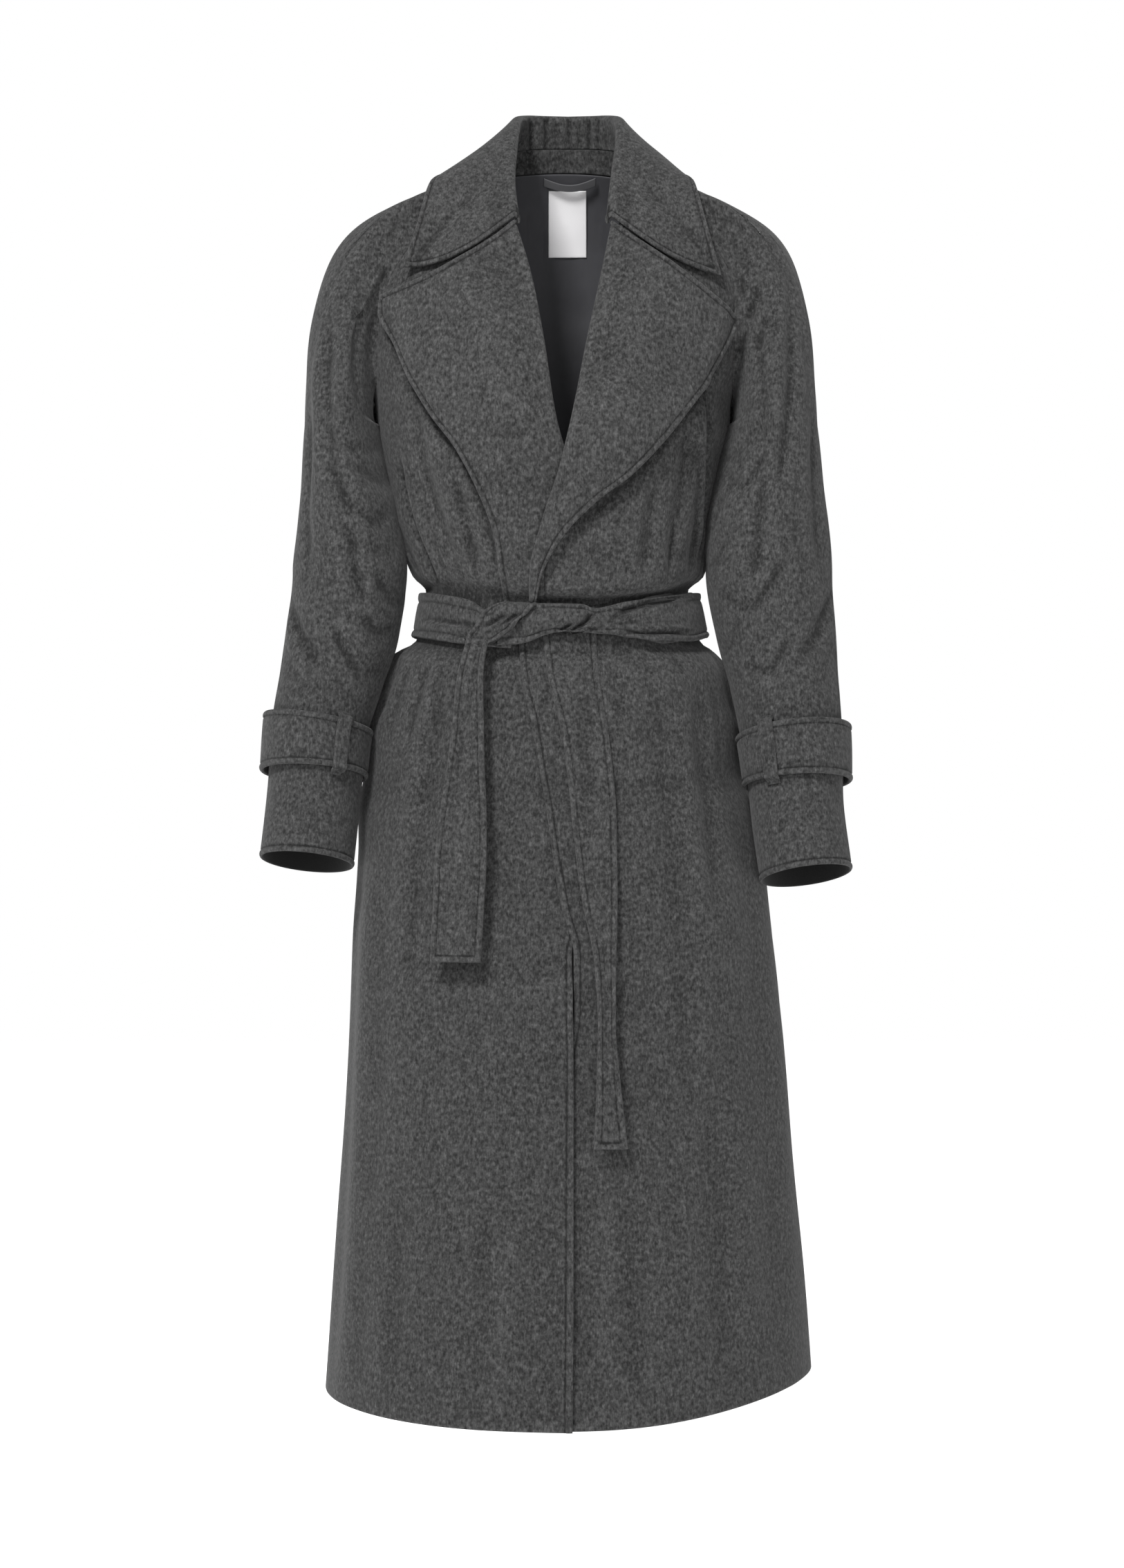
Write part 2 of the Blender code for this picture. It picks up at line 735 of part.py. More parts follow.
def neck_seam(side, share):
    """The neck seam from the centre back, 0, to the front edge, 1."""
    back_turn_end, back_height = seam_back(side, 1.0)
    front_turn_end, front_height = seam_front(side, 1.0)
    if share < BACK_SHARE:
        t = share / BACK_SHARE
        height = mix(BACK_NECK, back_height, t * t)
        return body_point(mix(side * 180.0, back_turn_end, t), height)
    if share < FRONT_SHARE:
        t = (share - BACK_SHARE) / (FRONT_SHARE - BACK_SHARE)
        back = body_point(back_turn_end, back_height)
        return mix(back, body_point(front_turn_end, front_height), t)
    t = (share - FRONT_SHARE) / (1.0 - FRONT_SHARE)
    edge = EDGE_LEFT if side > 0 else EDGE_RIGHT
    low = edge.rows[-1][0]
    turn = mix(front_turn_end, front_turn(edge.at(low)[0], low), t)
    return body_point(turn, mix(front_height, low, ease(t, 0.0, 1.0)))


def collar_frame(u):
    """Roll, edge, foot and outward direction at u, -1 (right tip) to 1 (left)."""
    side = 1 if u >= 0.0 else -1
    values = COLLAR.at(abs(u))
    roll, edge = Vector(values[:3]), Vector(values[3:])
    if side < 0 and abs(u) > 0.8:
        edge.z += 0.8 * ease(abs(u), 0.8, 1.0)
        roll.x -= 0.15 * ease(abs(u), 0.8, 1.0)
    for point in (roll, edge):
        point.x = side * point.x + COLLAR_SHIFT * ease(point.z, -4.0, 5.0)
    out = Vector((edge.x - roll.x, edge.y - roll.y, 0.0)).normalized()
    foot = neck_seam(side, abs(u)) - out * (0.5 * DOUBLE + 0.05)
    foot.z += 0.10
    return roll, edge, foot, out


def collar_middle(u, v):
    """Middle of the collar cloth: v 0 at the stand seam, 0.2 and 0.45 at the two
    sides of the roll, 1 at the outer edge."""
    roll, edge, foot, out = collar_frame(u)
    radius = ROLL_RADIUS * (1.0 - 0.45 * ease(abs(u), 0.75, 1.0))
    top = roll - Vector((0.0, 0.0, radius))
    inside = top - out * radius
    outside = top + out * radius
    if v <= 0.2:
        seam = mix(foot, inside, STAND_SHARE)
        if abs(u) > 0.8:
            seam = mix(seam, inside - Vector((0.0, 0.0, 0.3)), ease(abs(u), 0.8, 0.97))
        return mix(seam, inside, v / 0.2)
    if v <= 0.45:
        a = math.pi * (v - 0.2) / 0.25
        return top - out * (radius * math.cos(a)) + Vector((0.0, 0.0, radius * math.sin(a)))
    fall = (v - 0.45) / 0.55
    point = mix(outside, edge, fall)
    front = ease(abs(u), 0.55, 0.95)
    side = 1 if u >= 0.0 else -1
    bow = COLLAR_BOW[side] * math.sin(math.pi * fall) * ease(abs(u), 0.8, 1.0)
    point.z -= bow
    if front > 0.0 and fall > 0.0:
        turn = front_turn(point.x, point.z)
        cover = body_point(turn, point.z).y - 0.75
        point.y = mix(point.y, min(point.y, cover), front * ease(fall, 0.0, 0.3))
    return point


def collar_surface(u, v, inner):
    step = 0.01
    along = collar_middle(clamp(u + step, -1, 1), v) - collar_middle(clamp(u - step, -1, 1), v)
    over = collar_middle(u, clamp(v + step)) - collar_middle(u, clamp(v - step))
    normal = along.cross(over).normalized()
    return collar_middle(u, v) + normal * ((0.5 - inner) * DOUBLE)


COLLAR_ROWS = (0.0, 0.2, 0.26, 0.325, 0.39, 0.45, 0.55, 0.68, 0.84, 1.0)


def collar_fall(u, v, inner):
    row = v * (len(COLLAR_ROWS) - 1)
    i = min(int(row + 1e-6), len(COLLAR_ROWS) - 2)
    across = mix(COLLAR_ROWS[i], COLLAR_ROWS[i + 1], row - i)
    return collar_surface(2.0 * u - 1.0, across, inner)


STAND_REACH = 0.60  # the stand band ends at this share of the collar


def collar_stand(u, v, inner):
    """The band between the neck seam and the collar, seen inside the neck."""
    u = (2.0 * u - 1.0) * STAND_REACH
    _, _, foot, out = collar_frame(u)
    seam = collar_middle(u, 0.0)
    point = mix(foot, seam, v * 0.84)
    return point + out * ((0.5 - inner) * DOUBLE)


# --- belt ----------------------------------------------------------------------------

BELT_THICK = 0.42
BELT_PLAY = 0.17
BELT_END = -22.0  # turn at which the band closes, behind the knot


def belt_lift(turn):
    return mix(BELT_PLAY, LAP + BELT_PLAY, overlap_share(turn))


def belt_band(u, v, inner):
    turn = BELT_END + 0.15 + u * 359.7
    near = turn if turn < 180.0 else turn - 360.0
    height = mix(BELT_BOTTOM, BELT_TOP, v) - belt_dip(near)
    return on_body(near, height, belt_lift(near) + (1.0 - inner) * BELT_THICK)


# x, height of the lower edge, height of the upper edge, extra stand-off: the
# stretch that comes over from the wearer's left and turns over the band
KNOT = Track((
    (-5.2, -48.6, -44.2, 0.25),
    (-3.0, -48.1, -43.9, 0.35),
    (-1.0, -47.6, -44.2, 0.55),
    (1.0, -47.5, -44.9, 0.75),
    (3.0, -47.7, -45.2, 0.70),
    (5.5, -48.3, -44.6, 0.40),
    (8.2, -48.6, -43.9, 0.12),
))


def belt_knot(u, v, inner):
    x = mix(KNOT.rows[0][0], KNOT.rows[-1][0], u)
    low, high, stand = KNOT.at(x)
    height = mix(low, high, v)
    turn = front_turn(x, height)
    lift = belt_lift(turn) + BELT_THICK + 0.13 + stand * math.sin(math.pi * v)
    return on_body(turn, height, lift + (1.0 - inner) * BELT_THICK)


# height, x of the wearer's right edge, x of the left edge, stand-off
TAIL_SHORT = Track((
    (-78.3, -11.70, -7.20, 0.9),
    (-74.0, -11.45, -6.90, 0.9),
    (-66.8, -10.90, -6.70, 0.9),
    (-57.5, -9.80, -6.90, 1.0),
    (-53.9, -9.35, -6.80, 1.3),
    (-50.4, -8.90, -6.50, 1.7),
    (-47.8, -8.20, -5.60, 1.80),
    (-46.3, -7.60, -4.50, 1.88),
    (-44.9, -6.70, -3.30, 1.90),
    (-43.4, -5.30, -2.20, 1.80),
))
TAIL_LONG = Track((
    (-95.7, 2.90, 5.95, 0.7),
    (-88.3, 3.20, 5.20, 0.7),
    (-84.5, 3.30, 4.90, 0.7),
    (-78.6, 3.00, 4.95, 0.7),
    (-72.3, 1.80, 5.10, 0.65),
    (-64.9, 0.90, 5.00, 0.6),
    (-57.5, 0.10, 4.45, 0.5),
    (-50.3, -1.50, 3.40, 0.45),
))


def tail(track):
    low, high = track.rows[0][0], track.rows[-1][0]

    def place(u, v, inner):
        height = mix(low, high, v)
        left, right, stand = track.at(height)
        turn = front_turn(mix(left, right, u), height)
        return on_body(turn, height, stand + (1.0 - inner) * BELT_THICK)

    return place


# --- cuff straps ----------------------------------------------------------------------

STRAP_TOP = 55.3
STRAP_HEIGHT = 5.2
STRAP_THICK = 0.38
STRAP_OPEN = 197.0  # angle at which the strap's ends meet, against the body
LOOP_ANGLE = 119.0
LOOP_HALF = 7.5  # half of the keeper's width, as an angle


def on_arm(sleeve, angle, drop, lift):
    travel = 1.0 + (drop - sleeve.top) / (sleeve.end - sleeve.top)
    return sleeve.arm_point(angle, drop) + sleeve.normal(angle, travel) * lift


def strap_stand(angle):
    """The strap lies close on the inside of the arm and stands off outside."""
    return 0.08 + 0.42 * max(0.0, math.cos(math.radians(angle * 0.5))) ** 2


def strap_drop(sleeve, v):
    lower = 0.9 if sleeve.side > 0 else 0.0
    return STRAP_TOP + lower + STRAP_HEIGHT * (1.0 - v)


def cuff_strap(sleeve):
    def place(u, v, inner):
        angle = STRAP_OPEN - 359.4 * u - 0.3
        lift = strap_stand(angle) + (1.0 - inner) * STRAP_THICK
        return on_arm(sleeve, angle, strap_drop(sleeve, v), lift)

    return place


LOOP_ROWS = (0.0, 0.03, 0.075, 0.5, 0.925, 0.97, 1.0)


def cuff_loop(sleeve):
    def place(u, v, inner):
        angle = LOOP_ANGLE + LOOP_HALF * (1.0 - 2.0 * u)
        over = strap_stand(LOOP_ANGLE) + STRAP_THICK + 0.10
        share = LOOP_ROWS[round(v * (len(LOOP_ROWS) - 1))]
        drop = mix(strap_drop(sleeve, -0.14), strap_drop(sleeve, 1.14), share)
        near = min(share, 1.0 - share)
        lift = mix(0.08, over, ease(near, 0.02, 0.07))
        return on_arm(sleeve, angle, drop, lift + (1.0 - inner) * 0.3)

    return place


# --- inside the neck -------------------------------------------------------------------

LINING_SKIP = 3  # back columns left bare on each side
LINING_ROW = 15  # the back row at which the lining ends, over the waist


def back_lining(u, v, inner):
    """The lining keeps the grid of the back, just inside it."""
    first = LINING_SKIP / BACK_COLUMNS
    across = mix(first, 1.0 - first, u)
    up = mix(LINING_ROW / ROW_COUNT, 1.0, v)
    depth = CLOTH + 0.05 + inner * LINING
    return back_cloth()(across, up, depth / CLOTH)


LABEL_X = 0.57
LABEL_WIDTH = 3.95
LABEL_TOP = -1.3
LABEL_BOTTOM = -7.6


def inside_back(x, height, depth):
    return on_body(back_turn(x, height), height, -depth)


def neck_label(u, v, inner):
    x = LABEL_X + LABEL_WIDTH * (u - 0.5)
    height = mix(LABEL_BOTTOM, LABEL_TOP, v)
    return inside_back(x, height, CLOTH + 0.05 + LINING + 0.16 + inner * 0.1)


HANGER_HALF = 2.8
HANGER_X = 0.84


def hanger_loop(u, v, inner):
    x = HANGER_X + HANGER_HALF * (2.0 * u - 1.0)
    sag = 0.75 * math.sin(math.pi * u)
    height = -0.35 - 0.55 * (1.0 - v) - 0.45 * sag
    depth = CLOTH + 0.05 + LINING + 0.16 + 0.45 * sag
    return inside_back(x, height, depth + inner * 0.15)


# --- assembly --------------------------------------------------------------------


shell("front_left", 8, ROW_COUNT, front_panel(1), WOOL)
shell("front_right", 8, ROW_COUNT, front_panel(-1), WOOL)
for side, name in ((1, "left"), (-1, "right")):
    shell(f"back_{name}", BACK_COLUMNS // 2, ROW_COUNT, half_back(side), WOOL)
    arm = Sleeve(side)
    rows = SLEEVE_ROWS_CAP + SLEEVE_ROWS_ARM
    shell(f"sleeve_front_{name}", SLEEVE_COLUMNS, rows, sleeve_panel(arm, True), WOOL)
    shell(f"sleeve_back_{name}", SLEEVE_COLUMNS, rows, sleeve_panel(arm, False), WOOL)
    shell(f"lapel_{name}", LAPEL_COLUMNS, 10, lapel(side), WOOL)
    shell(f"cuff_strap_{name}", 24, 1, cuff_strap(arm), WOOL)
    shell(f"cuff_loop_{name}", 1, len(LOOP_ROWS) - 1, cuff_loop(arm), WOOL)
shell("collar_fall", 22, len(COLLAR_ROWS) - 1, collar_fall, WOOL)
shell("collar_stand", 16, 1, collar_stand, WOOL)
shell("belt_band", 32, 1, belt_band, WOOL)
shell("belt_knot", 10, 4, belt_knot, WOOL)
shell("belt_tail_short", 2, 14, tail(TAIL_SHORT), WOOL)
shell("belt_tail_long", 2, 14, tail(TAIL_LONG), WOOL)
shell("back_lining", BACK_COLUMNS - 2 * LINING_SKIP, ROW_COUNT - LINING_ROW, back_lining, SATIN)
shell("hanger_loop", 6, 1, hanger_loop, SATIN)
shell("neck_label", 2, 2, neck_label, TAPE)
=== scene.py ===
# %% [markdown]
# # A belted wool trench coat
# The coat stands as it does on a wearer, with nobody in it. Its outline is
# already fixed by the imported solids, so this lesson dresses them: every panel
# is made again as a fine cloth shell on the same form, with its folds, rolled
# edges and seams, and gets a brushed wool made of nodes.

# %% Frame
from functools import partial

import bmesh
import bpy
import numpy as np
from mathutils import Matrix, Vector


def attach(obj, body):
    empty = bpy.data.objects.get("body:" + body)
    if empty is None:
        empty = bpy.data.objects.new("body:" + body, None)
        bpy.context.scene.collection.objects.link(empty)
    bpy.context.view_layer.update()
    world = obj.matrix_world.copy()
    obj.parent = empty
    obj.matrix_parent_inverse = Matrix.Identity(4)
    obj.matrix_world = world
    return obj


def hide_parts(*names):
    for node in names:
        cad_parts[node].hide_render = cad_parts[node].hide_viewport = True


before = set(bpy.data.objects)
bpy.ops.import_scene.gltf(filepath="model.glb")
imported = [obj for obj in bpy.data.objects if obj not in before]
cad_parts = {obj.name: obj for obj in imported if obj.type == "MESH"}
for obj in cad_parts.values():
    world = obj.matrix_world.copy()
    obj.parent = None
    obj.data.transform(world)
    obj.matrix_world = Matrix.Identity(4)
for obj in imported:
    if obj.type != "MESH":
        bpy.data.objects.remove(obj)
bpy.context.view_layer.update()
print("solids:", sorted(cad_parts))

# %% [markdown]
# ## Blends
# Most of the coat is made by blending: from one place to another, from a fold
# to calm cloth. These few helpers work on whole arrays of points at once, which
# keeps the later code free of loops.

# %% Blends
CM = 0.01
SIDES = {1: "left", -1: "right"}  # the wearer's left is towards positive x


def ease(value, start, end):
    """0 before start, 1 after end, and a smooth step between them."""
    t = np.clip((value - start) / (end - start), 0.0, 1.0)
    return t * t * (3.0 - 2.0 * t)


def mix(a, b, t):
    return a + (b - a) * t


def points(x, y, z):
    return np.stack(np.broadcast_arrays(x, y, z), axis=-1).astype(float)


def unit(vectors):
    return vectors / np.maximum(np.linalg.norm(vectors, axis=-1, keepdims=True), 1e-9)


def turned_out(vectors, out):
    """The same vectors, each turned round where it doesn't point outwards."""
    facing = (vectors * out).sum(axis=-1, keepdims=True)
    return vectors * np.where(facing > 0.0, 1.0, -1.0)


def col(values):
    """One number for each point, ready to multiply its three coordinates."""
    return np.asarray(values, dtype=float)[..., None]


def hermite(start, end, leave, arrive, s):
    """A curve from start to end that leaves and arrives with these slopes."""
    return (
        start * (1 + 2 * s) * (1 - s) ** 2
        + leave * s * (1 - s) ** 2
        + end * s * s * (3 - 2 * s)
        - arrive * s * s * (1 - s)
    )


print("a step eased at a quarter of its way:", ease(0.25, 0.0, 1.0).round(3))

# %% [markdown]
# ## Smooth tables
# A tailor writes a pattern as a table of sizes. Each table here holds one size
# list, in centimetres, and a Track runs a smooth curve through its rows. The
# curve never overshoots a row, so a waist can't get thinner than it was drawn.

# %% Smooth tables


class Track:
    """A smooth curve through the rows of a table, read by the first column."""

    def __init__(self, rows):
        table = np.array(sorted(rows), dtype=float)
        self.key, self.value = table[:, 0], table[:, 1:]
        rise = np.diff(self.value, axis=0) / np.diff(self.key)[:, None]
        before, after = rise[:-1], rise[1:]
        total = np.where(before * after > 0.0, before + after, 1.0)
        inner = np.where(before * after > 0.0, 2.0 * before * after / total, 0.0)
        self.slope = np.vstack([rise[:1], inner, rise[-1:]])

    def at(self, t):
        t = np.clip(np.asarray(t, dtype=float), self.key[0], self.key[-1])
        i = np.clip(np.searchsorted(self.key, t, side="right") - 1, 0, len(self.key) - 2)
        span = self.key[i + 1] - self.key[i]
        s, span = col((t - self.key[i]) / span), col(span)
        leave, arrive = self.slope[i] * span, self.slope[i + 1] * span
        value = hermite(self.value[i], self.value[i + 1], leave, arrive, s)
        return np.moveaxis(value, -1, 0)


eased = Track(((0, 0), (1, 0), (2, 4))).at(1.5)
print("between 0 and 4, eased by a Track:", eased.round(2).tolist())

# %% [markdown]
# ## The body form
# The body of the coat is one hollow form given by level sections: a soft
# rectangle with round corners, wide at the chest, tied in at the belt and wide
# again at the hem. A place on it is a turn, 0 at the centre front and 90 at the
# wearer's left side, and a height. All the panels share this form, so what lies
# on another piece lies on it exactly.

# %% Body sections
# heights, in cm; 0 is where the coat rests on the shoulders
HEM = -121.2
UNDERARM = -25.0
BELT_TOP = -42.3
BELT_BOTTOM = -47.2
BELT_DIP = 1.6  # the belt sits this much lower at the front
HEM_RISE = 2.0  # the hem is this much higher at the wearer's left
HEM_DROP = 0.8  # and this much lower at the centre front
ROUNDNESS = 2.3  # 2 is an ellipse, and more is nearer to a rectangle
SIDE_TURN = 90.0  # turn of the left side seam; the right one is at its negative

# height, centre x, centre y, half width, depth to the front, depth to the back
BODY = (
    (-121.6, 0.70, 0.0, 24.2, 18.6, 17.6),
    (-110.0, 0.65, 0.0, 23.3, 17.8, 17.2),
    (-98.0, 0.50, 0.0, 22.4, 17.0, 16.7),
    (-87.0, 0.30, 0.0, 21.7, 16.2, 16.2),
    (-76.0, 0.05, 0.3, 20.9, 15.5, 15.4),
    (-72.0, 0.00, 0.7, 20.5, 15.4, 14.9),
    (-68.0, -0.15, 1.6, 20.1, 16.0, 13.7),
    (-64.0, -0.55, 2.4, 19.7, 16.4, 12.5),
    (-60.0, -0.85, 3.0, 18.8, 16.4, 11.4),
    (-56.0, -0.75, 3.0, 18.6, 16.0, 10.4),
    (-52.9, -0.65, 2.4, 17.8, 15.0, 10.4),
    (-50.2, -0.60, 1.5, 16.9, 13.7, 10.5),
    (-48.6, -0.75, 1.1, 15.8, 12.9, 10.2),
    (-47.2, -0.40, 0.6, 14.1, 11.7, 9.8),
    (-44.8, -0.45, 0.3, 13.5, 11.0, 9.6),
    (-42.3, -0.50, 0.4, 13.0, 11.0, 9.5),
    (-40.6, -0.45, 1.2, 14.3, 12.8, 9.6),
    (-38.0, -0.80, 2.4, 15.2, 14.6, 8.9),
    (-35.6, -0.95, 2.9, 15.9, 15.6, 8.8),
    (-33.0, -0.90, 3.0, 16.4, 15.9, 9.0),
    (-29.5, -1.00, 2.6, 17.0, 15.7, 9.7),
    (-26.5, -0.85, 1.9, 17.6, 14.9, 10.5),
    (-24.0, -0.90, 1.3, 17.7, 14.0, 11.2),
    (-19.0, -0.50, 0.4, 18.7, 12.3, 12.0),
    (-14.0, -0.20, 0.0, 18.9, 10.6, 12.1),
    (-10.0, 0.00, 0.0, 17.9, 9.2, 11.5),
    (-7.0, 0.05, 0.0, 15.9, 7.9, 10.7),
    (-4.5, 0.10, 0.0, 13.4, 6.6, 9.8),
    (-2.5, 0.15, 0.0, 11.2, 5.6, 9.0),
    (-1.0, 0.20, 0.0, 9.3, 4.8, 8.2),
    (0.5, 0.25, 0.0, 7.8, 4.2, 7.2),
)
BODY_TRACK = Track(BODY)
print("body sections:", len(BODY), "over", BODY[-1][0] - BODY[0][0], "cm")

# %% [markdown]
# The sections are for a level waist. The real waist dips at the front and the
# hem swings up at one side, so a height is shifted before it is looked up. A
# section's corners are rounded by raising sine and cosine to a power, which is
# simpler to steer than four arcs.

# %% Body surface
NORMAL_STEP = 0.6  # how far away, in cm and degrees, a slope is measured
NEARLY_ONE = 0.9999
DIP_BELOW = (-75.0, -50.0)  # heights between which the waist's dip grows
DIP_ABOVE = (-41.0, -22.0)  # and between which it fades
SWING_UP = (-5.0, 75.0)  # turns between which the hem swings up
SWING_DOWN = (110.0, 178.0)  # and between which it comes down again
SWING_REACH = 26.0  # height over which the swing fades


def belt_dip(turn):
    """How much lower the waist lies here than at the sides."""
    return BELT_DIP * np.maximum(0.0, np.cos(np.radians(turn))) ** 2


def waist_share(height):
    """1 round the belt, fading to 0 over the skirt and the chest."""
    return ease(height, *DIP_BELOW) * (1.0 - ease(height, *DIP_ABOVE))


def hem_rise(turn, height):
    """The hem swings up towards the wearer's left side."""
    around = np.where(turn <= 180.0, turn, turn - 360.0)
    swing = ease(around, *SWING_UP) * (1.0 - ease(around, *SWING_DOWN))
    drop = HEM_DROP * np.maximum(0.0, np.cos(np.radians(around))) ** 3
    return (HEM_RISE * swing - drop) * (1.0 - ease(height, HEM, HEM + SWING_REACH))


def body_section(turn, height):
    return BODY_TRACK.at(height + belt_dip(turn) * waist_share(height))


def signed_power(value, power):
    return np.sign(value) * np.abs(value) ** power


def body_point(turn, height):
    centre, middle, half, front, back = body_section(turn, height)
    angle = np.radians(turn)
    depth = np.where(np.cos(angle) > 0.0, front, back)
    x = centre + half * signed_power(np.sin(angle), 2.0 / ROUNDNESS)
    y = middle - depth * signed_power(np.cos(angle), 2.0 / ROUNDNESS)
    return points(x, y, height)


def body_normal(turn, height):
    step = NORMAL_STEP
    across = body_point(turn + step, height) - body_point(turn - step, height)
    up = body_point(turn, height + step) - body_point(turn, height - step)
    return unit(np.cross(across, up))


def front_turn(x, height):
    """The turn at which the front of the body has this x at this height."""
    turn = np.zeros(np.broadcast(x, height).shape)
    for _ in range(3):
        centre, _, half, _, _ = body_section(turn, height)
        share = np.clip((x - centre) / half, -NEARLY_ONE, NEARLY_ONE)
        turn = np.degrees(np.arcsin(signed_power(share, ROUNDNESS / 2.0)))
    return turn


def back_turn(x, height):
    centre, _, half, _, _ = body_section(np.full(np.shape(height), 180.0), height)
    share = np.clip((x - centre) / half, -NEARLY_ONE, NEARLY_ONE)
    return 180.0 - np.degrees(np.arcsin(signed_power(share, ROUNDNESS / 2.0)))


ring_turns = np.linspace(0.0, 360.0, 181)
ring = body_point(ring_turns, np.full(len(ring_turns), (BELT_TOP + BELT_BOTTOM) / 2.0))
waist = np.linalg.norm(np.diff(ring, axis=0), axis=1).sum()
print("waist under the belt, cm:", round(float(waist), 1))

# %% [markdown]
# ## Free edges and seams
# The left front lies over the right one down to the thigh, where the two edges
# cross, and under it below. Each edge is a table of height and x. The raglan
# seams run from the underarm to the neck, and each is a table as well.

# %% Front edges
EDGE_LEFT = Track((
    (-121.6, -0.9),
    (-100.0, -0.4),
    (-88.0, 0.35),
    (-82.5, 1.12),
    (-80.0, 1.12),
    (-77.5, 1.12),
    (-72.7, -0.13),
    (-63.0, -1.60),
    (-58.3, -2.40),
    (-54.9, -3.00),
    (-52.6, -3.60),
    (-48.2, -4.10),
    (-43.6, -3.10),
    (-40.7, -3.00),
    (-36.3, -1.95),
    (-31.4, -0.40),
    (-26.5, 0.80),
    (-18.8, 2.30),
    (-12.4, 3.65),
    (-6.7, 4.75),
))
EDGE_RIGHT = Track((
    (-121.6, 0.95),
    (-107.2, 1.05),
    (-88.0, 1.05),
    (-82.5, 0.98),
    (-80.0, 0.98),
    (-77.5, 0.98),
    (-72.7, 2.60),
    (-63.0, 4.30),
    (-54.9, 5.00),
    (-48.2, 5.20),
    (-43.6, 4.60),
    (-38.0, 2.90),
    (-32.0, 1.15),
    (-26.5, -0.45),
    (-18.8, -1.65),
    (-12.4, -2.85),
    (-6.6, -4.50),
))
EDGES = {1: EDGE_LEFT, -1: EDGE_RIGHT}
print("hem turn of the left edge:", front_turn(EDGE_LEFT.at(HEM)[0], HEM).round(1))

# %% [markdown]
# The front that lies on top is lifted off the form, and over the right lapel it
# is lifted further. The lift fades towards the sides, so that both fronts meet
# the back on the form itself.

# %% Overlap
CROSSING = -80.0  # height at which the two front edges cross
CROSSING_HALF = 2.0  # half of the height over which they change places
LAP = 0.34  # lift that lets one front pass over the other
LAPEL_LAP = 0.98  # lift that lets the left front pass over the right lapel too
LAP_FADE = (-27.0, -19.0)  # heights between which the lift fades at the chest
OVERLAP_FADE = (38.0, 70.0)  # turns between which it fades at the sides


def overlap_share(turn):
    """1 across the front, where the two fronts lie on each other, 0 at the sides."""
    return 1.0 - ease(np.abs(turn), *OVERLAP_FADE)


def left_on_top(height):
    """1 where the left front lies on the right one, 0 where it lies under it."""
    return ease(height, CROSSING - CROSSING_HALF, CROSSING + CROSSING_HALF)


def lift_left(turn, height):
    """How far the left front stands off the body form."""
    over = LAP * left_on_top(height)
    lapel = ease(height + belt_dip(turn), BELT_TOP + 0.1, BELT_TOP + 1.3)
    over = over + (LAPEL_LAP - LAP) * lapel
    return over * (1.0 - ease(height, *LAP_FADE)) * overlap_share(turn)


def lift_right(turn, height):
    return LAP * (1.0 - left_on_top(height)) * overlap_share(turn)


LIFTS = {1: lift_left, -1: lift_right}
print("lift of the left front at the belt, cm:", lift_left(0.0, BELT_TOP).round(2))

# %% [markdown]
# The armhole seams are tables of their share from the underarm up, the height
# and how far out they lie. The back ones are alike, and the front ones differ
# a little, because the coat doesn't hang evenly.

# %% Armhole seams
BACK_NECK = 0.5  # height of the neck seam at the centre back
BACK_SHARE = 0.42  # shares of the neck seam where the back and the fronts end
FRONT_SHARE = 0.56
SEAM_BLEND = 0.12  # share over which the seam leaves the side seam
# share, height, then how far out the right and the left seam lie
SEAM_FRONT = Track((
    (0.00, -25.0, 18.66, 16.85),
    (0.14, -21.5, 18.20, 16.80),
    (0.30, -17.0, 18.10, 17.00),
    (0.46, -12.8, 17.30, 16.90),
    (0.62, -8.8, 15.00, 15.00),
    (0.80, -4.8, 11.60, 11.60),
    (1.00, -1.3, 8.00, 8.00),
))
SEAM_BACK = Track((
    (0.00, -25.0, 18.66),
    (0.14, -21.5, 18.00),
    (0.30, -17.0, 16.90),
    (0.46, -12.6, 15.00),
    (0.62, -8.4, 12.40),
    (0.80, -4.0, 9.40),
    (1.00, -0.3, 6.60),
))


def seam_front(side, share):
    """Turn and height on the front armhole seam, from the underarm up."""
    height, right, left = SEAM_FRONT.at(share)
    turn = front_turn(side * (left if side > 0 else right), height)
    return mix(side * SIDE_TURN, turn, ease(share, 0.0, SEAM_BLEND)), height


def seam_back(side, share):
    """The same on the back armhole seam."""
    height, reach = SEAM_BACK.at(share)
    turn = back_turn(side * reach, height) - (0.0 if side > 0 else 360.0)
    return mix(side * SIDE_TURN, turn, ease(share, 0.0, SEAM_BLEND)), height


seam_ends = [seam_back(side, np.array(1.0))[0].round(1).tolist() for side in SIDES]
print("turns at which the back armhole seams reach the neck:", seam_ends)

# %% [markdown]
# ## Raglan sleeves
# A raglan sleeve runs up to the neck and has no shoulder seam. Its surface
# leaves the armhole seam, crosses the cap and comes down the arm through oval
# sections. The cap is a Hermite patch: each angle round the arm says how
# strongly the cloth leaves the seam and how it arrives at the arm, which gives
# the round shoulder without modelling it point by point.

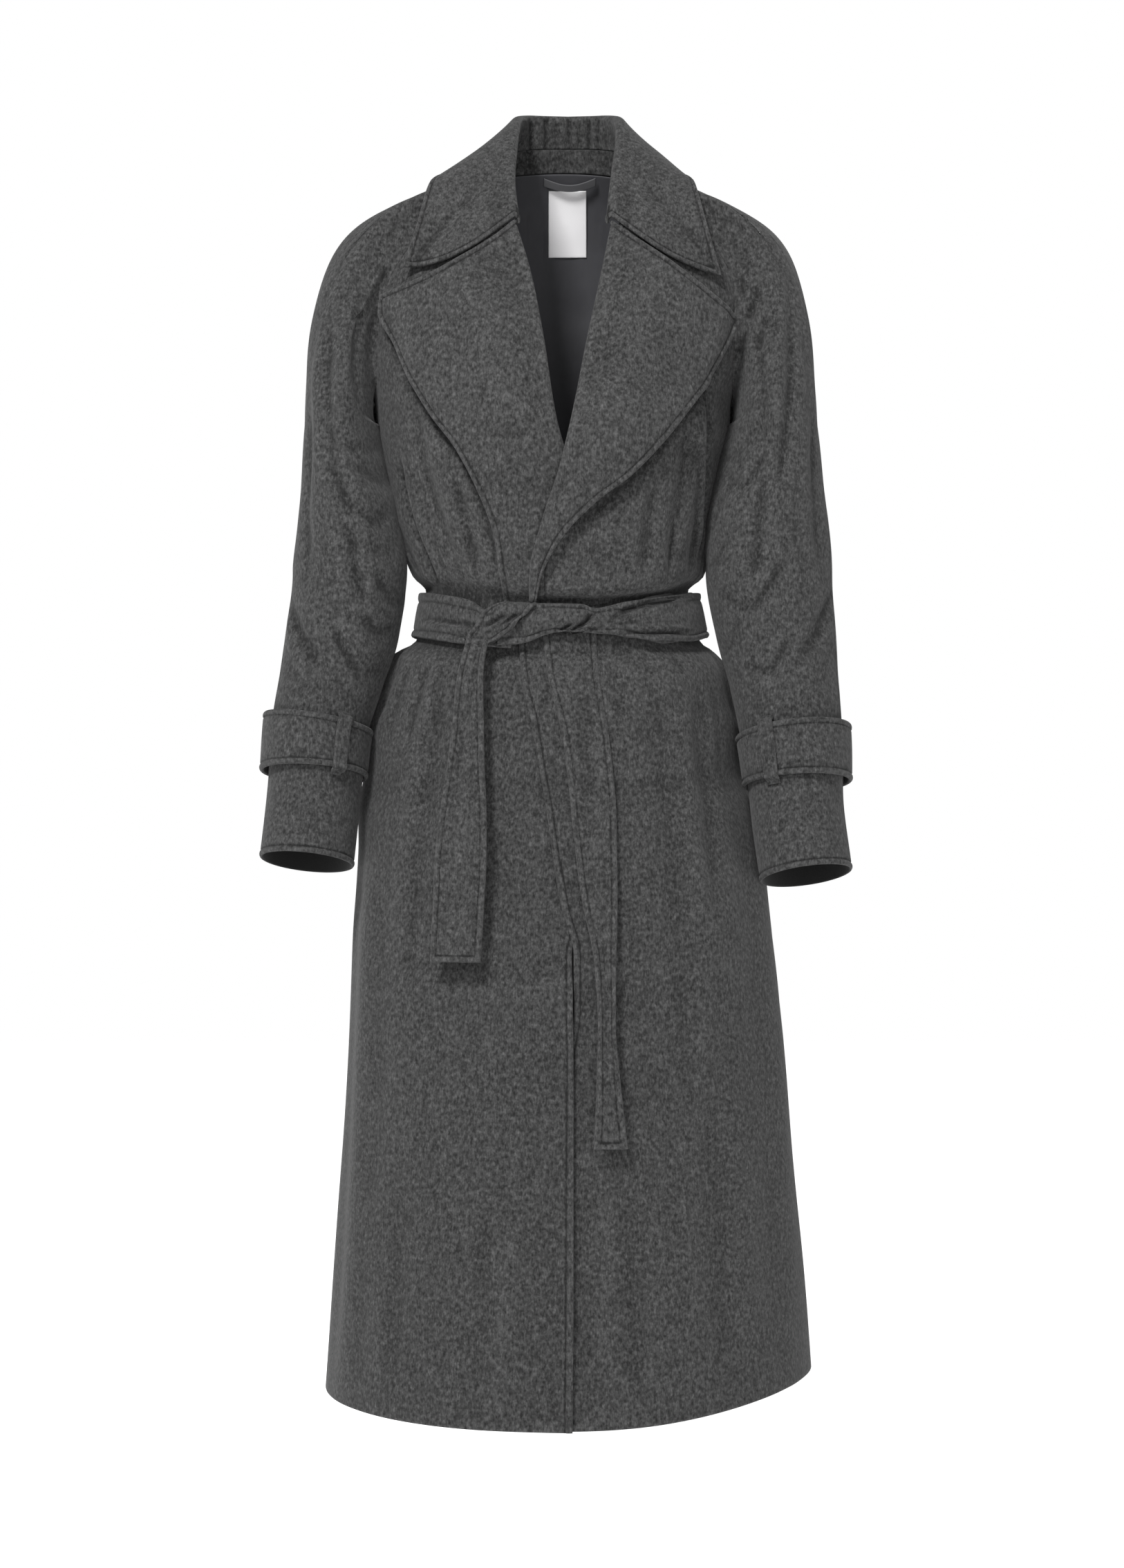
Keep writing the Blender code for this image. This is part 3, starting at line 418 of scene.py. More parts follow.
# %% Arm sections and cap
# height, x, y, half width, half depth: sections of the arm from bicep to cuff
ARM_RIGHT = (
    (-26.0, 21.85, -1.4, 3.45, 7.5),
    (-31.0, 21.6, -1.8, 4.15, 7.0),
    (-36.0, 21.2, -2.6, 4.95, 6.4),
    (-40.5, 20.95, -2.8, 5.65, 5.8),
    (-46.0, 21.6, -2.8, 5.60, 5.5),
    (-51.0, 22.7, -3.0, 5.10, 5.4),
    (-56.0, 23.8, -3.6, 4.75, 5.4),
    (-62.0, 24.25, -4.6, 4.60, 5.3),
    (-69.0, 24.9, -6.1, 4.60, 5.3),
)
ARM_LEFT = (
    (-26.0, 20.9, -1.4, 4.25, 7.5),
    (-31.0, 20.6, -1.8, 5.10, 7.0),
    (-36.0, 20.3, -2.6, 5.85, 6.4),
    (-41.0, 20.4, -2.9, 6.15, 5.8),
    (-46.0, 21.0, -3.1, 5.90, 5.5),
    (-51.0, 21.8, -3.6, 5.40, 5.4),
    (-58.0, 22.6, -4.9, 4.90, 5.3),
    (-64.0, 22.95, -6.0, 4.55, 5.3),
    (-70.3, 23.7, -7.4, 4.50, 5.3),
)

# angle round the arm, then the pull of the cap out of the armhole seam:
# outwards, forwards, upwards; the pull with which it comes down the arm; and
# the pull along the body surface, square to the seam
CAP = Track((
    (0.0, 36.0, 0.0, -12.5, 66.0, 0.0),
    (35.0, 26.0, 3.0, -7.0, 46.0, 6.0),
    (70.0, 6.0, 3.0, -2.0, 22.0, 12.0),
    (110.0, 1.0, 2.0, -2.0, 12.0, 6.0),
    (150.0, 0.5, 0.0, -2.0, 4.0, 2.5),
    (180.0, 1.5, 0.0, -1.0, 1.0, 0.5),
    (210.0, 0.5, 0.0, -2.0, 4.0, 2.5),
    (250.0, 1.0, -2.0, -2.0, 12.0, 6.0),
    (290.0, 6.0, -3.0, -2.0, 22.0, 12.0),
    (325.0, 26.0, -3.0, -6.0, 46.0, 6.0),
    (360.0, 36.0, 0.0, -12.5, 66.0, 0.0),
))
NECK_ANGLE = 26.0  # half of the arc of the sleeve that is sewn into the neck
ARM_ROWS = {1: ARM_LEFT, -1: ARM_RIGHT}
for side, rows in ARM_ROWS.items():
    print(f"{SIDES[side]} arm from bicep to cuff, cm:", round(rows[0][0] - rows[-1][0], 1))

# %% [markdown]
# The sleeve grows out of a closed loop: up the front armhole seam, along a short
# arc at the neck and down the back seam. An angle round the arm picks a point of
# the loop, so that the sleeve and the body share that seam exactly. An angle of
# 0 is the outside of the arm, 90 its front, 180 its inside and 270 its back.

# %% Armhole loop
UNDER_ANGLE = 12.0  # half of the arc that hangs under the arm
ARC_RISE = 0.25  # rise and reach of the arc that is sewn into the neck
ARC_REACH = 0.5


def seam_place(side, angle):
    """Turn and height on the armhole seam at this angle of the sleeve."""
    angle = np.mod(angle, 360.0)
    front = np.clip((180.0 - angle) / (180.0 - NECK_ANGLE), 0.0, 1.0)
    back = np.clip((angle - 180.0) / (180.0 - NECK_ANGLE), 0.0, 1.0)
    pairs = zip(seam_front(side, front), seam_back(side, back))
    return [np.where(angle <= 180.0, ahead, behind) for ahead, behind in pairs]


def armhole(side, angle):
    """The point of the armhole loop that this angle of the sleeve grows from."""
    angle = np.mod(angle, 360.0)
    near = np.where(angle < 180.0, angle, angle - 360.0)
    share = np.clip(0.5 - 0.5 * near / NECK_ANGLE, 0.0, 1.0)
    rise = np.sin(np.pi * share)
    top = np.array(1.0)
    front_neck, back_neck = body_point(*seam_front(side, top)), body_point(*seam_back(side, top))
    arc = mix(front_neck, back_neck, col(share))
    arc = arc + points(side * ARC_REACH * rise, 0.0, ARC_RISE * rise)
    seam = body_point(*seam_place(side, angle))
    return np.where(col(np.abs(near) < NECK_ANGLE), arc, seam)


def away(side, angle):
    """Unit vector in the body surface, square to the armhole seam, that points
    off the body panel."""
    seam = armhole(side, angle + 1.0) - armhole(side, angle - 1.0)
    turn, height = seam_place(side, angle)
    across = unit(np.cross(seam, body_normal(turn, height)))
    out = body_point(np.full(np.shape(turn), side * SIDE_TURN), height)
    out = out - body_point(turn, height)
    under = col(np.abs(np.mod(angle, 360.0) - 180.0) < UNDER_ANGLE)
    out = np.where(under, np.array((0.0, 0.0, -1.0)), out)
    return turned_out(across, out)


print("top of the left armhole, cm:", armhole(1, np.zeros(1)).round(1).tolist())

# %% [markdown]
# A sleeve can be asked for its surface at any angle round the arm and any
# travel from the armhole seam to the cuff. Angle and travel are numbers that
# folds, straps and seams can share, which a finished mesh wouldn't give. The
# left and the right sleeve differ only in their side and in their sections.

# %% Sleeve surface
AXIS_REACH = 0.8  # how far up and down the arm its direction is measured
ARM_BEND = 12.0  # length over which the arm turns from straight down
ANGLE_STEP, TRAVEL_STEP = 2.0, 0.02  # how far away a slope is measured


class Sleeve:
    """One raglan sleeve."""

    def __init__(self, side):
        self.side = side
        self.track = Track([(-row[0], *row[1:]) for row in ARM_ROWS[side]])
        self.top, self.end = self.track.key[0], self.track.key[-1]

    def centre(self, drop):
        x, y, _, _ = self.track.at(drop)
        return points(self.side * x, y, -drop)

    def axes(self, drop):
        """Unit vectors outwards, forwards and down along the arm at a section."""
        low = np.minimum(drop + AXIS_REACH, self.end)
        high = np.maximum(drop - AXIS_REACH, self.top)
        down = unit(self.centre(low) - self.centre(high))
        bend = col(ease(drop, self.top, self.top + ARM_BEND))
        down = unit(mix(np.array((0.0, 0.0, -1.0)), down, bend))
        forward = unit(np.array((0.0, -1.0, 0.0)) + down * down[..., 1:2])
        outward = np.cross(down, forward) * -self.side
        outward = outward * np.where(outward[..., :1] * self.side < 0.0, -1.0, 1.0)
        return outward, forward, down

    def arm_point(self, angle, drop):
        _, _, half, deep = self.track.at(drop)
        outward, forward, _ = self.axes(drop)
        a = np.radians(angle)
        out, ahead = outward * col(half * np.cos(a)), forward * col(deep * np.sin(a))
        return self.centre(drop) + out + ahead

    def surface(self, angle, travel):
        """travel 0 to 1 crosses the cap, 1 to 2 goes down the arm."""
        out, forward, up, down_pull, along_body = CAP.at(np.mod(angle, 360.0))
        top = np.full(np.shape(angle), self.top)
        leave = points(self.side * out, -forward, up)
        leave = leave + away(self.side, angle) * col(along_body)
        arrive = self.axes(top)[2] * col(down_pull)
        start, end = armhole(self.side, angle), self.arm_point(angle, top)
        cap = hermite(start, end, leave, arrive, col(np.clip(travel, 0.0, 1.0)))
        drop = mix(self.top, self.end, np.clip(travel - 1.0, 0.0, 1.0))
        return np.where(col(travel > 1.0), self.arm_point(angle, drop), cap)

    def normal(self, angle, travel):
        low = np.clip(travel - TRAVEL_STEP, 0.0, 2.0)
        high = np.clip(travel + TRAVEL_STEP, 0.0, 2.0)
        ahead, behind = angle + ANGLE_STEP, angle - ANGLE_STEP
        around = self.surface(ahead, travel) - self.surface(behind, travel)
        along = self.surface(angle, high) - self.surface(angle, low)
        normal = unit(np.cross(around, along))
        outward, forward, _ = self.axes(np.full(np.shape(angle), self.top))
        a = np.radians(angle)
        return turned_out(normal, outward * col(np.cos(a)) + forward * col(np.sin(a)))


ARMS = {side: Sleeve(side) for side in SIDES}
for side, arm in ARMS.items():
    outside = arm.surface(np.array([0.0, 0.0]), np.array([0.4, 2.0]))
    print(SIDES[side], "shoulder and cuff, cm:", outside.round(1).tolist())

# %% [markdown]
# ## Folds
# Cloth shows its weight in its folds. A fold here is a line on the surface with
# a depth and a width: a trough with a low ridge beside it, fading at both ends.
# Sculpting would give the same marks once, but a list can be read, changed and
# kept uneven on purpose. The front folds are placed by x and height as one
# looks at the coat, and each is dropped on the surface that it belongs to.

# %% Fold tool
FOLD_REACH = 3.4  # a fold is felt this many widths away
LIP_PLACE = 1.7  # and its lip lies this many widths beside it
FOLD_FADE = 0.3  # share of its length over which each end fades
THIN_END = 0.55  # width at its ends, as a share of the width in the middle


def smooth_line(corners, steps=7):
    """A smooth line through the given places."""
    corners = np.asarray(corners, dtype=float)
    table = Track([(i, *corner) for i, corner in enumerate(corners)])
    stops = np.linspace(0, len(corners) - 1, steps * (len(corners) - 1) + 1)
    return np.stack(table.at(stops), axis=-1)


class Fold:
    """A soft trough of this depth and width, in cm, along a line of points. lip
    is the height of the ridge beside it, as a share of the depth: its sign says
    on which side. A negative depth is a ridge."""

    def __init__(self, line, depth, width, lip=0.0):
        self.line, self.depth, self.width, self.lip = line, depth, width, lip

    def relief(self, place, normal):
        reach = FOLD_REACH * self.width
        low, high = self.line.min(axis=0) - reach, self.line.max(axis=0) + reach
        near = np.nonzero(((place > low) & (place < high)).all(axis=-1))[0]
        lift = np.zeros(len(place))
        if len(near) == 0:
            return lift
        p, n = place[near], normal[near]
        best = np.full(len(near), 1e9)
        along = np.zeros(len(near))
        side = np.zeros(len(near))
        count = len(self.line) - 1
        for i in range(count):
            a, b = self.line[i], self.line[i + 1]
            step = b - a
            t = np.clip((p - a) @ step / (step @ step), 0.0, 1.0)
            off = p - a - col(t) * step
            gap = np.linalg.norm(off, axis=-1)
            closer = gap < best
            best = np.where(closer, gap, best)
            along = np.where(closer, (i + t) / count, along)
            turn = (np.cross(step, n) * off).sum(axis=-1)
            side = np.where(closer, np.sign(turn), side)
        taper = ease(along, 0.0, FOLD_FADE) * (1.0 - ease(along, 1.0 - FOLD_FADE, 1.0))
        width = self.width * mix(THIN_END, 1.0, taper)
        trough = np.exp(-((best / width) ** 2))
        lip_side = best * side * np.sign(self.lip or 1.0)
        ridge = np.exp(-(((lip_side - LIP_PLACE * width) / width) ** 2))
        lift[near] = taper * self.depth * (abs(self.lip) * ridge - trough)
        return lift


def all_relief(folds, place, normal):
    lift = np.zeros(len(place))
    for fold in folds:
        lift += fold.relief(place, normal)
    return lift


WAVES = 7


def ripple(place, seed, size, height):
    """Slow, uneven waves all over, because pressed cloth is never quite flat."""
    draw = np.random.default_rng(seed)
    lift = np.zeros(len(place))
    for _ in range(WAVES):
        heading = unit(draw.normal(size=3) * (1.0, 1.0, 0.6))
        length = size * draw.uniform(0.6, 1.6)
        lift += np.sin(place @ heading * (2.0 * np.pi / length) + draw.uniform(0, 6.28))
    return lift * height / 3.0


middle = ripple(np.zeros((1, 3)), seed=1, size=10.0, height=0.1)
print("a ripple of 0.1 cm lifts the origin by", middle.round(3).tolist())

# %% [markdown]
# A fold is placed by what is easiest to say: x and height on the front, turn
# and height round the back, angle and travel on a sleeve. Each helper turns
# that into a line of points on the surface.

# %% Placing folds


def front_fold(corners, depth, width, lip=0.0):
    """A fold on the front of the body, placed by x and height."""
    x, height = smooth_line(corners).T
    return Fold(body_point(front_turn(x, height), height), depth, width, lip)


def front_folds(*rows):
    return [front_fold(*row) for row in rows]


def sleeve_front_fold(arm, corners, depth, width, lip=0.0):
    """A fold on the front of a sleeve, placed by x and height. Its y is that of
    the nearest of many samples of the sleeve."""
    angle, travel = np.meshgrid(np.linspace(2.0, 178.0, 89), np.linspace(0.04, 2.0, 150))
    samples = arm.surface(angle.ravel(), travel.ravel())
    line = smooth_line(corners)
    off_x = samples[:, None, 0] - line[None, :, 0]
    off_height = samples[:, None, 2] - line[None, :, 1]
    nearest = (off_x**2 + off_height**2).argmin(axis=0)
    place = points(line[:, 0], samples[nearest, 1], line[:, 1])
    return Fold(place, depth, width, lip)


def round_fold(corners, depth, width, lip=0.0):
    """A fold placed by turn and height, for the sides and the back."""
    line = smooth_line(corners)
    return Fold(body_point(line[:, 0], line[:, 1]), depth, width, lip)


def sleeve_fold(arm, corners, depth, width, lip=0.0):
    """A fold placed by angle and travel on a sleeve."""
    line = smooth_line(corners)
    return Fold(arm.surface(line[:, 0], line[:, 1]), depth, width, lip)


print("x 5 on the chest lies at turn", front_turn(np.array(5.0), np.array(-20.0)).round(1))

# %% [markdown]
# ## Cloth shells
# A panel is cut flat, so it starts as a flat bmesh grid. The grid is extruded
# into a second layer, and both are laid on the form: the outer layer on the
# surface, the inner one a cloth's thickness below. A finished edge gets closer
# grid lines, so that it can be rounded over and carry the row of topstitching
# that sinks into thick wool. Solidify could give the thickness, but not an edge
# that is puffed up outside its stitches.

# %% Rims and grid lines
CLOTH = 0.25  # one layer of coating wool
DOUBLE = 0.34  # two layers pressed together
LINING = 0.12
FINE = 1.0
# distances from the rim of the closer grid lines at each kind of rim
RIM_LINES = {
    "edge": (0.0, 0.035, 0.09, 0.17, 0.3, 0.43, 0.52, 0.6, 0.68, 0.8, 1.0),
    "seam": (0.0, 0.05, 0.13, 0.28),
}
SEAMS = ("seam",) * 4
WIDTH_STEP = 0.03  # the share of a panel over which its width is measured
LEAST_WIDTH = 2.4


def spaced(index, count, widths, rims):
    """Share across the panel of each grid line. widths says how many cm a share
    of 1 is at each of the two rims, and rims what kind of rim each is."""
    first, last = RIM_LINES[rims[0]], RIM_LINES[rims[1]]
    a, b = len(first) - 1, len(last) - 1
    low, high = first[-1] / widths[0], 1.0 - last[-1] / widths[1]
    share = low + (high - low) * (index - a) / (count - a - b)
    share = np.where(index < a, np.take(first, np.clip(index, 0, a)) / widths[0], share)
    left = count - index
    return np.where(left < b, 1.0 - np.take(last, np.clip(left, 0, b)) / widths[1], share)


def width_at(form, u, v, du, dv):
    """How many cm a share of 1 would be here, judged by one short step."""
    u, v = np.broadcast_arrays(u, v)
    width = np.linalg.norm(form(u + du, v + dv) - form(u, v), axis=-1) / WIDTH_STEP
    return np.maximum(width, LEAST_WIDTH)


def rim_widths(form, across, up):
    """Widths all along the rims at u 0, u 1, v 0 and v 1, so that the closer
    grid lines keep their distance in cm."""
    u, v, step = np.arange(across + 1) / across, np.arange(up + 1) / up, WIDTH_STEP
    return (
        width_at(form, 0.0, v, step, 0.0),
        width_at(form, 1.0 - step, v, step, 0.0),
        width_at(form, u, 0.0, 0.0, step),
        width_at(form, u, 1.0 - step, 0.0, step),
    )


print("closer grid lines at each rim:", {kind: len(at) for kind, at in RIM_LINES.items()})

# %% [markdown]
# A flat grid of two layers is the blank for every piece. Each of its points
# remembers its column and row, since bmesh doesn't promise an order, and they
# say where on the form the point will lie.

# %% Flat panel


def flat_panel(name, across, up):
    """A flat grid in two layers, with each point's column, its row, and 1 for
    the inner layer or 0 for the outer one."""
    bm = bmesh.new()
    bmesh.ops.create_grid(bm, x_segments=across, y_segments=up, size=0.5)
    raised = bmesh.ops.extrude_face_region(bm, geom=bm.faces[:])["geom"]
    second = [g for g in raised if isinstance(g, bmesh.types.BMVert)]
    bmesh.ops.translate(bm, verts=second, vec=(0.0, 0.0, 1.0))
    mesh = bpy.data.meshes.new(name)
    bm.to_mesh(mesh)
    bm.free()
    flat = np.empty(3 * len(mesh.vertices))
    mesh.vertices.foreach_get("co", flat)
    flat = flat.reshape(-1, 3)
    i = np.rint((flat[:, 0] + 0.5) * across).astype(int)
    j = np.rint((flat[:, 1] + 0.5) * up).astype(int)
    return mesh, i, j, np.rint(flat[:, 2])


blank, column, row, _ = flat_panel("blank", 2, 3)
print("a panel of 2 by 3 has columns to", column.max(), "and rows to", row.max())
bpy.data.meshes.remove(blank)

# %% [markdown]
# The wool's colour gets painted shade down in a fold and a painted highlight
# on a ridge, from how deep each point lies. Each point is compared with its
# neighbours on both sides, and the result is kept on the mesh, because a baked
# picture would tie it to one shape.

# %% Hollows
HOLLOW_REACH = 0.8  # a crease is looked for this far to each side
HOLLOW_DEPTH = 0.22  # and this depth counts as a full hollow


def hollowness(place, normal, i, j, pitch):
    """How far each outer point lies in a hollow, 1 in a deep one and below 0 on a
    ridge: its depth under the middle of its neighbours on both sides."""
    across, up = i.max(), j.max()
    order = np.empty((across + 1, up + 1), dtype=int)
    order[i, j] = np.arange(len(i))
    depth = np.zeros(len(i))
    for line, last, size in ((i, across, pitch[0]), (j, up, pitch[1])):
        most = max(1, round(HOLLOW_REACH / size))
        reach = np.minimum(np.minimum(line, last - line), most)
        if line is i:
            near, far = order[i - reach, j], order[i + reach, j]
        else:
            near, far = order[i, j - reach], order[i, j + reach]
        depth += ((0.5 * (place[near] + place[far]) - place) * normal).sum(axis=-1)
    return np.clip(depth / HOLLOW_DEPTH, -0.3, 1.0)


row, column = np.divmod(np.arange(9), 3)
dent = points(column, row, np.where(np.arange(9) == 4, -0.2, 0.0))
depths = hollowness(dent, np.array((0.0, 0.0, 1.0)), column, row, (1.0, 1.0))
print("a dent 0.2 cm deep counts as", depths.max().round(2))

# %% [markdown]
# A finished edge is rolled, stands up a little outside its stitches and sinks
# in along them. A seam only tucks in. Both are a lift that depends on nothing
# but the distance from the rim.

# %% Edge profile
STITCH_IN = 0.6  # distance of the topstitching from the edge
STITCH_WIDTH = 0.075
STITCH_SINK = 0.09
RIM_PUFF = 0.07
PUFF_RAMP = 0.25  # distance over which the rim rises beside its stitches
ROUND_RADIUS = 0.14
ROUND_SHARE = 0.46  # share of the thickness that each layer is rounded by
RIM_HIGHLIGHT_REACH = 0.25  # how far in from a rim its painted highlight reaches
FAR = 9.0  # stands for the distance from an edge where there is none


def rounding(gap, radius):
    """1 at the rim and 0 from radius inwards, along a quarter circle."""
    t = np.clip(gap / radius, 0.0, 1.0)
    return 1.0 - np.sqrt(1.0 - (1.0 - t) ** 2)


def edge_profile(edge, rim, thick):
    """How deep the stitch groove is here, and the lifts of both layers, from
    the distances to the nearest finished edge and to the nearest rim."""
    groove = np.exp(-(((edge - STITCH_IN) / STITCH_WIDTH) ** 2))
    puff = ease(edge, 0.05, PUFF_RAMP)
    puff = puff * (1.0 - ease(edge, STITCH_IN - PUFF_RAMP, STITCH_IN))
    press = -STITCH_SINK * groove + RIM_PUFF * puff
    tuck = rounding(rim, ROUND_RADIUS) * thick * ROUND_SHARE
    return groove, press - tuck, tuck - thick


print("lift of the stitch line, cm:", edge_profile(STITCH_IN, FAR, CLOTH)[1].round(3))

# %% [markdown]
# The finished mesh is handed to the frame in one place: it rides on the root
# body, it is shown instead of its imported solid, and its slot says which
# material it wears.

# %% Finished piece
PIECES, SLOT_OF = {}, {}


def finish_shell(mesh, solid, slot):
    """Turns the faces outwards, smooths the shading and hands the piece over."""
    bm = bmesh.new()
    bm.from_mesh(mesh)
    bmesh.ops.recalc_face_normals(bm, faces=bm.faces[:])
    if bm.calc_volume(signed=True) < 0.0:
        bmesh.ops.reverse_faces(bm, faces=bm.faces[:])
    bm.to_mesh(mesh)
    area = sum(face.calc_area() for face in bm.faces) / 2.0
    bm.free()
    mesh.shade_smooth()
    obj = bpy.data.objects.new(mesh.name, mesh)
    bpy.context.scene.collection.objects.link(obj)
    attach(obj, "root")
    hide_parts(solid)
    PIECES[obj.name], SLOT_OF[obj.name] = obj, slot
    print(f"{obj.name}: {len(mesh.polygons) * 2} triangles, one layer {area:.3f} m2")


print("solids to be dressed:", len(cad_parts))

# %% [markdown]
# Now the tools come together: a blank is cut, laid on its form, rounded and
# stitched at its rims, and marked for its material.

# %% Shell tool
SLOPE_STEP = 0.002  # share of the panel over which its slope is measured


def laid(form, u, v, facing):
    """Places on the form and its outward normals."""
    d = SLOPE_STEP
    run_u = form(np.minimum(u + d, 1.0), v) - form(np.maximum(u - d, 0.0), v)
    run_v = form(u, np.minimum(v + d, 1.0)) - form(u, np.maximum(v - d, 0.0))
    return form(u, v), unit(np.cross(run_u, run_v)) * facing


def shell(solid, across, up, form, facing, thick, rims, slot="wool"):
    """Makes the cloth piece of this solid. across and up are its grid sizes,
    form(u, v) gives the outer surface in cm, and rims names the kind of rim at
    u 0, u 1, v 0 and v 1. An edge is finished and stitched, a seam is only
    rounded in. facing is 1 where u, v and the way out follow the right hand,
    and -1 elsewhere."""
    across = int(across * FINE) + sum(len(RIM_LINES[rim]) - 1 for rim in rims[:2])
    up = int(up * FINE) + sum(len(RIM_LINES[rim]) - 1 for rim in rims[2:])
    mesh, i, j, inner = flat_panel(f"coat_{solid}", across, up)
    left, right, low, high = rim_widths(form, across, up)
    wide, long = (left[j], right[j]), (low[i], high[i])
    u, v = spaced(i, across, wide, rims[:2]), spaced(j, up, long, rims[2:])
    place, normal = laid(form, u, v, facing)

    gaps = [u * wide[0], (1.0 - u) * wide[1], v * long[0], (1.0 - v) * long[1]]
    far = np.full(len(u), FAR)
    edge = np.minimum.reduce([g if kind == "edge" else far for g, kind in zip(gaps, rims)])
    groove, outer_lift, inner_lift = edge_profile(edge, np.minimum.reduce(gaps), thick)
    place = place + normal * col(np.where(inner > 0.5, inner_lift, outer_lift))
    mesh.vertices.foreach_set("co", (place * CM).ravel())

    outer = np.nonzero(inner < 0.5)[0]
    pitch = np.mean(wide) / across, np.mean(long) / up
    hollow = np.zeros(len(u))
    hollow[outer] = hollowness(place[outer], normal[outer], i[outer], j[outer], pitch)
    # these marks paint light into the wool: painted shade on the inner layer, in the stitch
    # groove and in the folds, and a painted highlight on the rims and on the ridges
    marks = {
        "inside": inner,
        "painted_stitch_shade": groove * (1.0 - inner),
        "rim": np.exp(-edge / RIM_HIGHLIGHT_REACH),
        "hollow": hollow,
    }
    for label, values in marks.items():
        layer = mesh.attributes.new(label, "FLOAT", "POINT")
        layer.data.foreach_set("value", values.astype(float))
    finish_shell(mesh, solid, slot)


print("share of the full grid used in this run:", FINE)

# %% [markdown]
# ## Where the folds lie
# Above the belt the cloth is bloused and drags towards the tie; under it short
# gathers open out into the skirt. Each row holds the corners of a fold as x and
# height, its depth, its width and its lip. The list is uneven on purpose, since
# evenly spaced folds look like a curtain.

# %% Front folds
BODY_FOLDS = front_folds(
    # from the left armhole down the side, and from the right side to the tie
    ([(13.7, -20.0), (13.95, -27.0), (13.8, -34.5), (13.1, -41.0)], 1.15, 0.75, 0.55),
    ([(11.6, -24.5), (11.3, -30.0), (10.6, -36.0), (10.0, -41.0)], 0.42, 0.95, -0.5),
    ([(8.6, -32.0), (7.8, -37.0), (7.3, -42.0)], 0.34, 0.75, 0.5),
    ([(-16.2, -28.5), (-15.0, -34.5), (-13.3, -39.4), (-11.6, -43.4)], 0.95, 0.75, -0.55),
    ([(-14.6, -23.0), (-13.8, -29.0), (-12.2, -35.0), (-10.2, -40.5)], 0.42, 1.0, -0.5),
    ([(-10.6, -31.0), (-9.5, -36.0), (-8.0, -42.0)], 0.36, 0.8, 0.5),
    ([(16.2, -13.6), (15.6, -17.2), (14.3, -20.6), (12.6, -23.0)], 0.85, 0.85, 0.5),
    ([(-16.2, -14.0), (-15.6, -19.0), (-14.2, -24.5)], 0.50, 0.9, -0.5),
    # hollows beside the outer edges of the lapels
    ([(-16.7, -12.6), (-17.1, -15.8), (-15.6, -19.8), (-12.5, -26.3), (-10.3, -29.5),
      (-8.4, -33.3), (-6.8, -37.9), (-6.2, -41.6)], 0.50, 0.50),
    ([(16.9, -13.4), (17.0, -16.0), (15.7, -19.3), (13.2, -23.4), (9.4, -28.6),
      (6.0, -32.6), (3.4, -34.9), (1.0, -37.2), (-0.7, -40.4)], 0.50, 0.50),
    # the skirt, under the belt and down the middle
    ([(8.6, -49.4), (9.0, -56.0), (10.1, -66.0), (11.2, -80.0), (11.9, -96.0)], 0.32, 1.5, -0.4),
    ([(12.6, -50.5), (13.6, -60.0), (14.8, -76.0)], 0.35, 1.1, 0.5),
    ([(-11.2, -49.2), (-12.4, -57.0), (-14.0, -70.0), (-15.0, -84.0)], 0.32, 1.3, 0.4),
    ([(-8.2, -49.5), (-8.6, -54.0), (-9.2, -62.0)], 0.19, 0.8, -0.4),
    ([(-15.0, -96.0), (-15.8, -108.0), (-16.2, -121.0)], 0.32, 1.8, 0.5),
    ([(13.9, -90.0), (14.8, -104.0), (15.2, -119.0)], 0.38, 1.9, -0.5),
    ([(6.2, -98.0), (6.6, -108.0), (6.9, -122.0)], 0.22, 1.6, 0.5),
    ([(-7.4, -100.0), (-7.7, -110.0), (-8.2, -122.0)], 0.19, 1.5, -0.5),
)
print("front folds:", len(BODY_FOLDS))

# %% [markdown]
# The sides and the back have many small folds of a few kinds, so these are drawn
# by chance between bounds, with a seed that gives the same coat each time: short
# gathers at the belt, long flutes below it and drag lines over the back.

# %% Gathers and flutes
GATHER_TURNS, GATHERS = (-172.0, 178.0), 34
SKIPPED = 0.6  # share of the front gathers that are left out above the belt
FRONT_TURN = 40.0  # gathers nearer to the centre front are shorter and flatter
# up or down, lengths, share of them at the front, sway, where the middle bends,
# depths and widths
LOW_GATHERS = (-1.0, (4.0, 15.0), 0.55, 2.0, (0.4, 0.45), (0.10, 0.34), (0.45, 0.95))
HIGH_GATHERS = (1.0, (3.0, 11.0), 0.6, 3.0, (0.5, 0.5), (0.10, 0.30), (0.45, 0.9))
FLUTES = (62.0, 88.0, 112.0, 134.0, 158.0, -176.0, -151.0, -124.0, -104.0, -80.0, -58.0)
# turn at the underarm, then how far round and how far down a drag line runs
DRAG_LINES = (
    (112.0, 26.0, 13.0),
    (118.0, 17.0, 20.0),
    (-112.0, -24.0, 14.0),
    (-119.0, -18.0, 19.0),
)
DRAG_TOP = -21.0


def drawn(draw, place, corners, depth, width, lip, share=1.0):
    """A fold whose depth, width and lip are drawn between bounds, in this order.
    place is the helper that lays it, and share makes it shallower."""
    deep = draw.uniform(*depth) * share
    return place(corners, deep, draw.uniform(*width), draw.uniform(*lip))


def gather(draw, turn, start, way, lengths, short, sway, bend, depth, width):
    """One short fold that runs up or down from here and leans a little."""
    front = abs(turn) < FRONT_TURN
    length = way * draw.uniform(*lengths) * (short if front else 1.0)
    lean = draw.uniform(-sway, sway)
    middle = (turn + bend[0] * lean, start + bend[1] * length)
    corners = [(turn, start), middle, (turn + lean, start + length)]
    share = 0.5 if front else 1.0
    return drawn(draw, round_fold, corners, depth, width, (-0.6, 0.6), share)


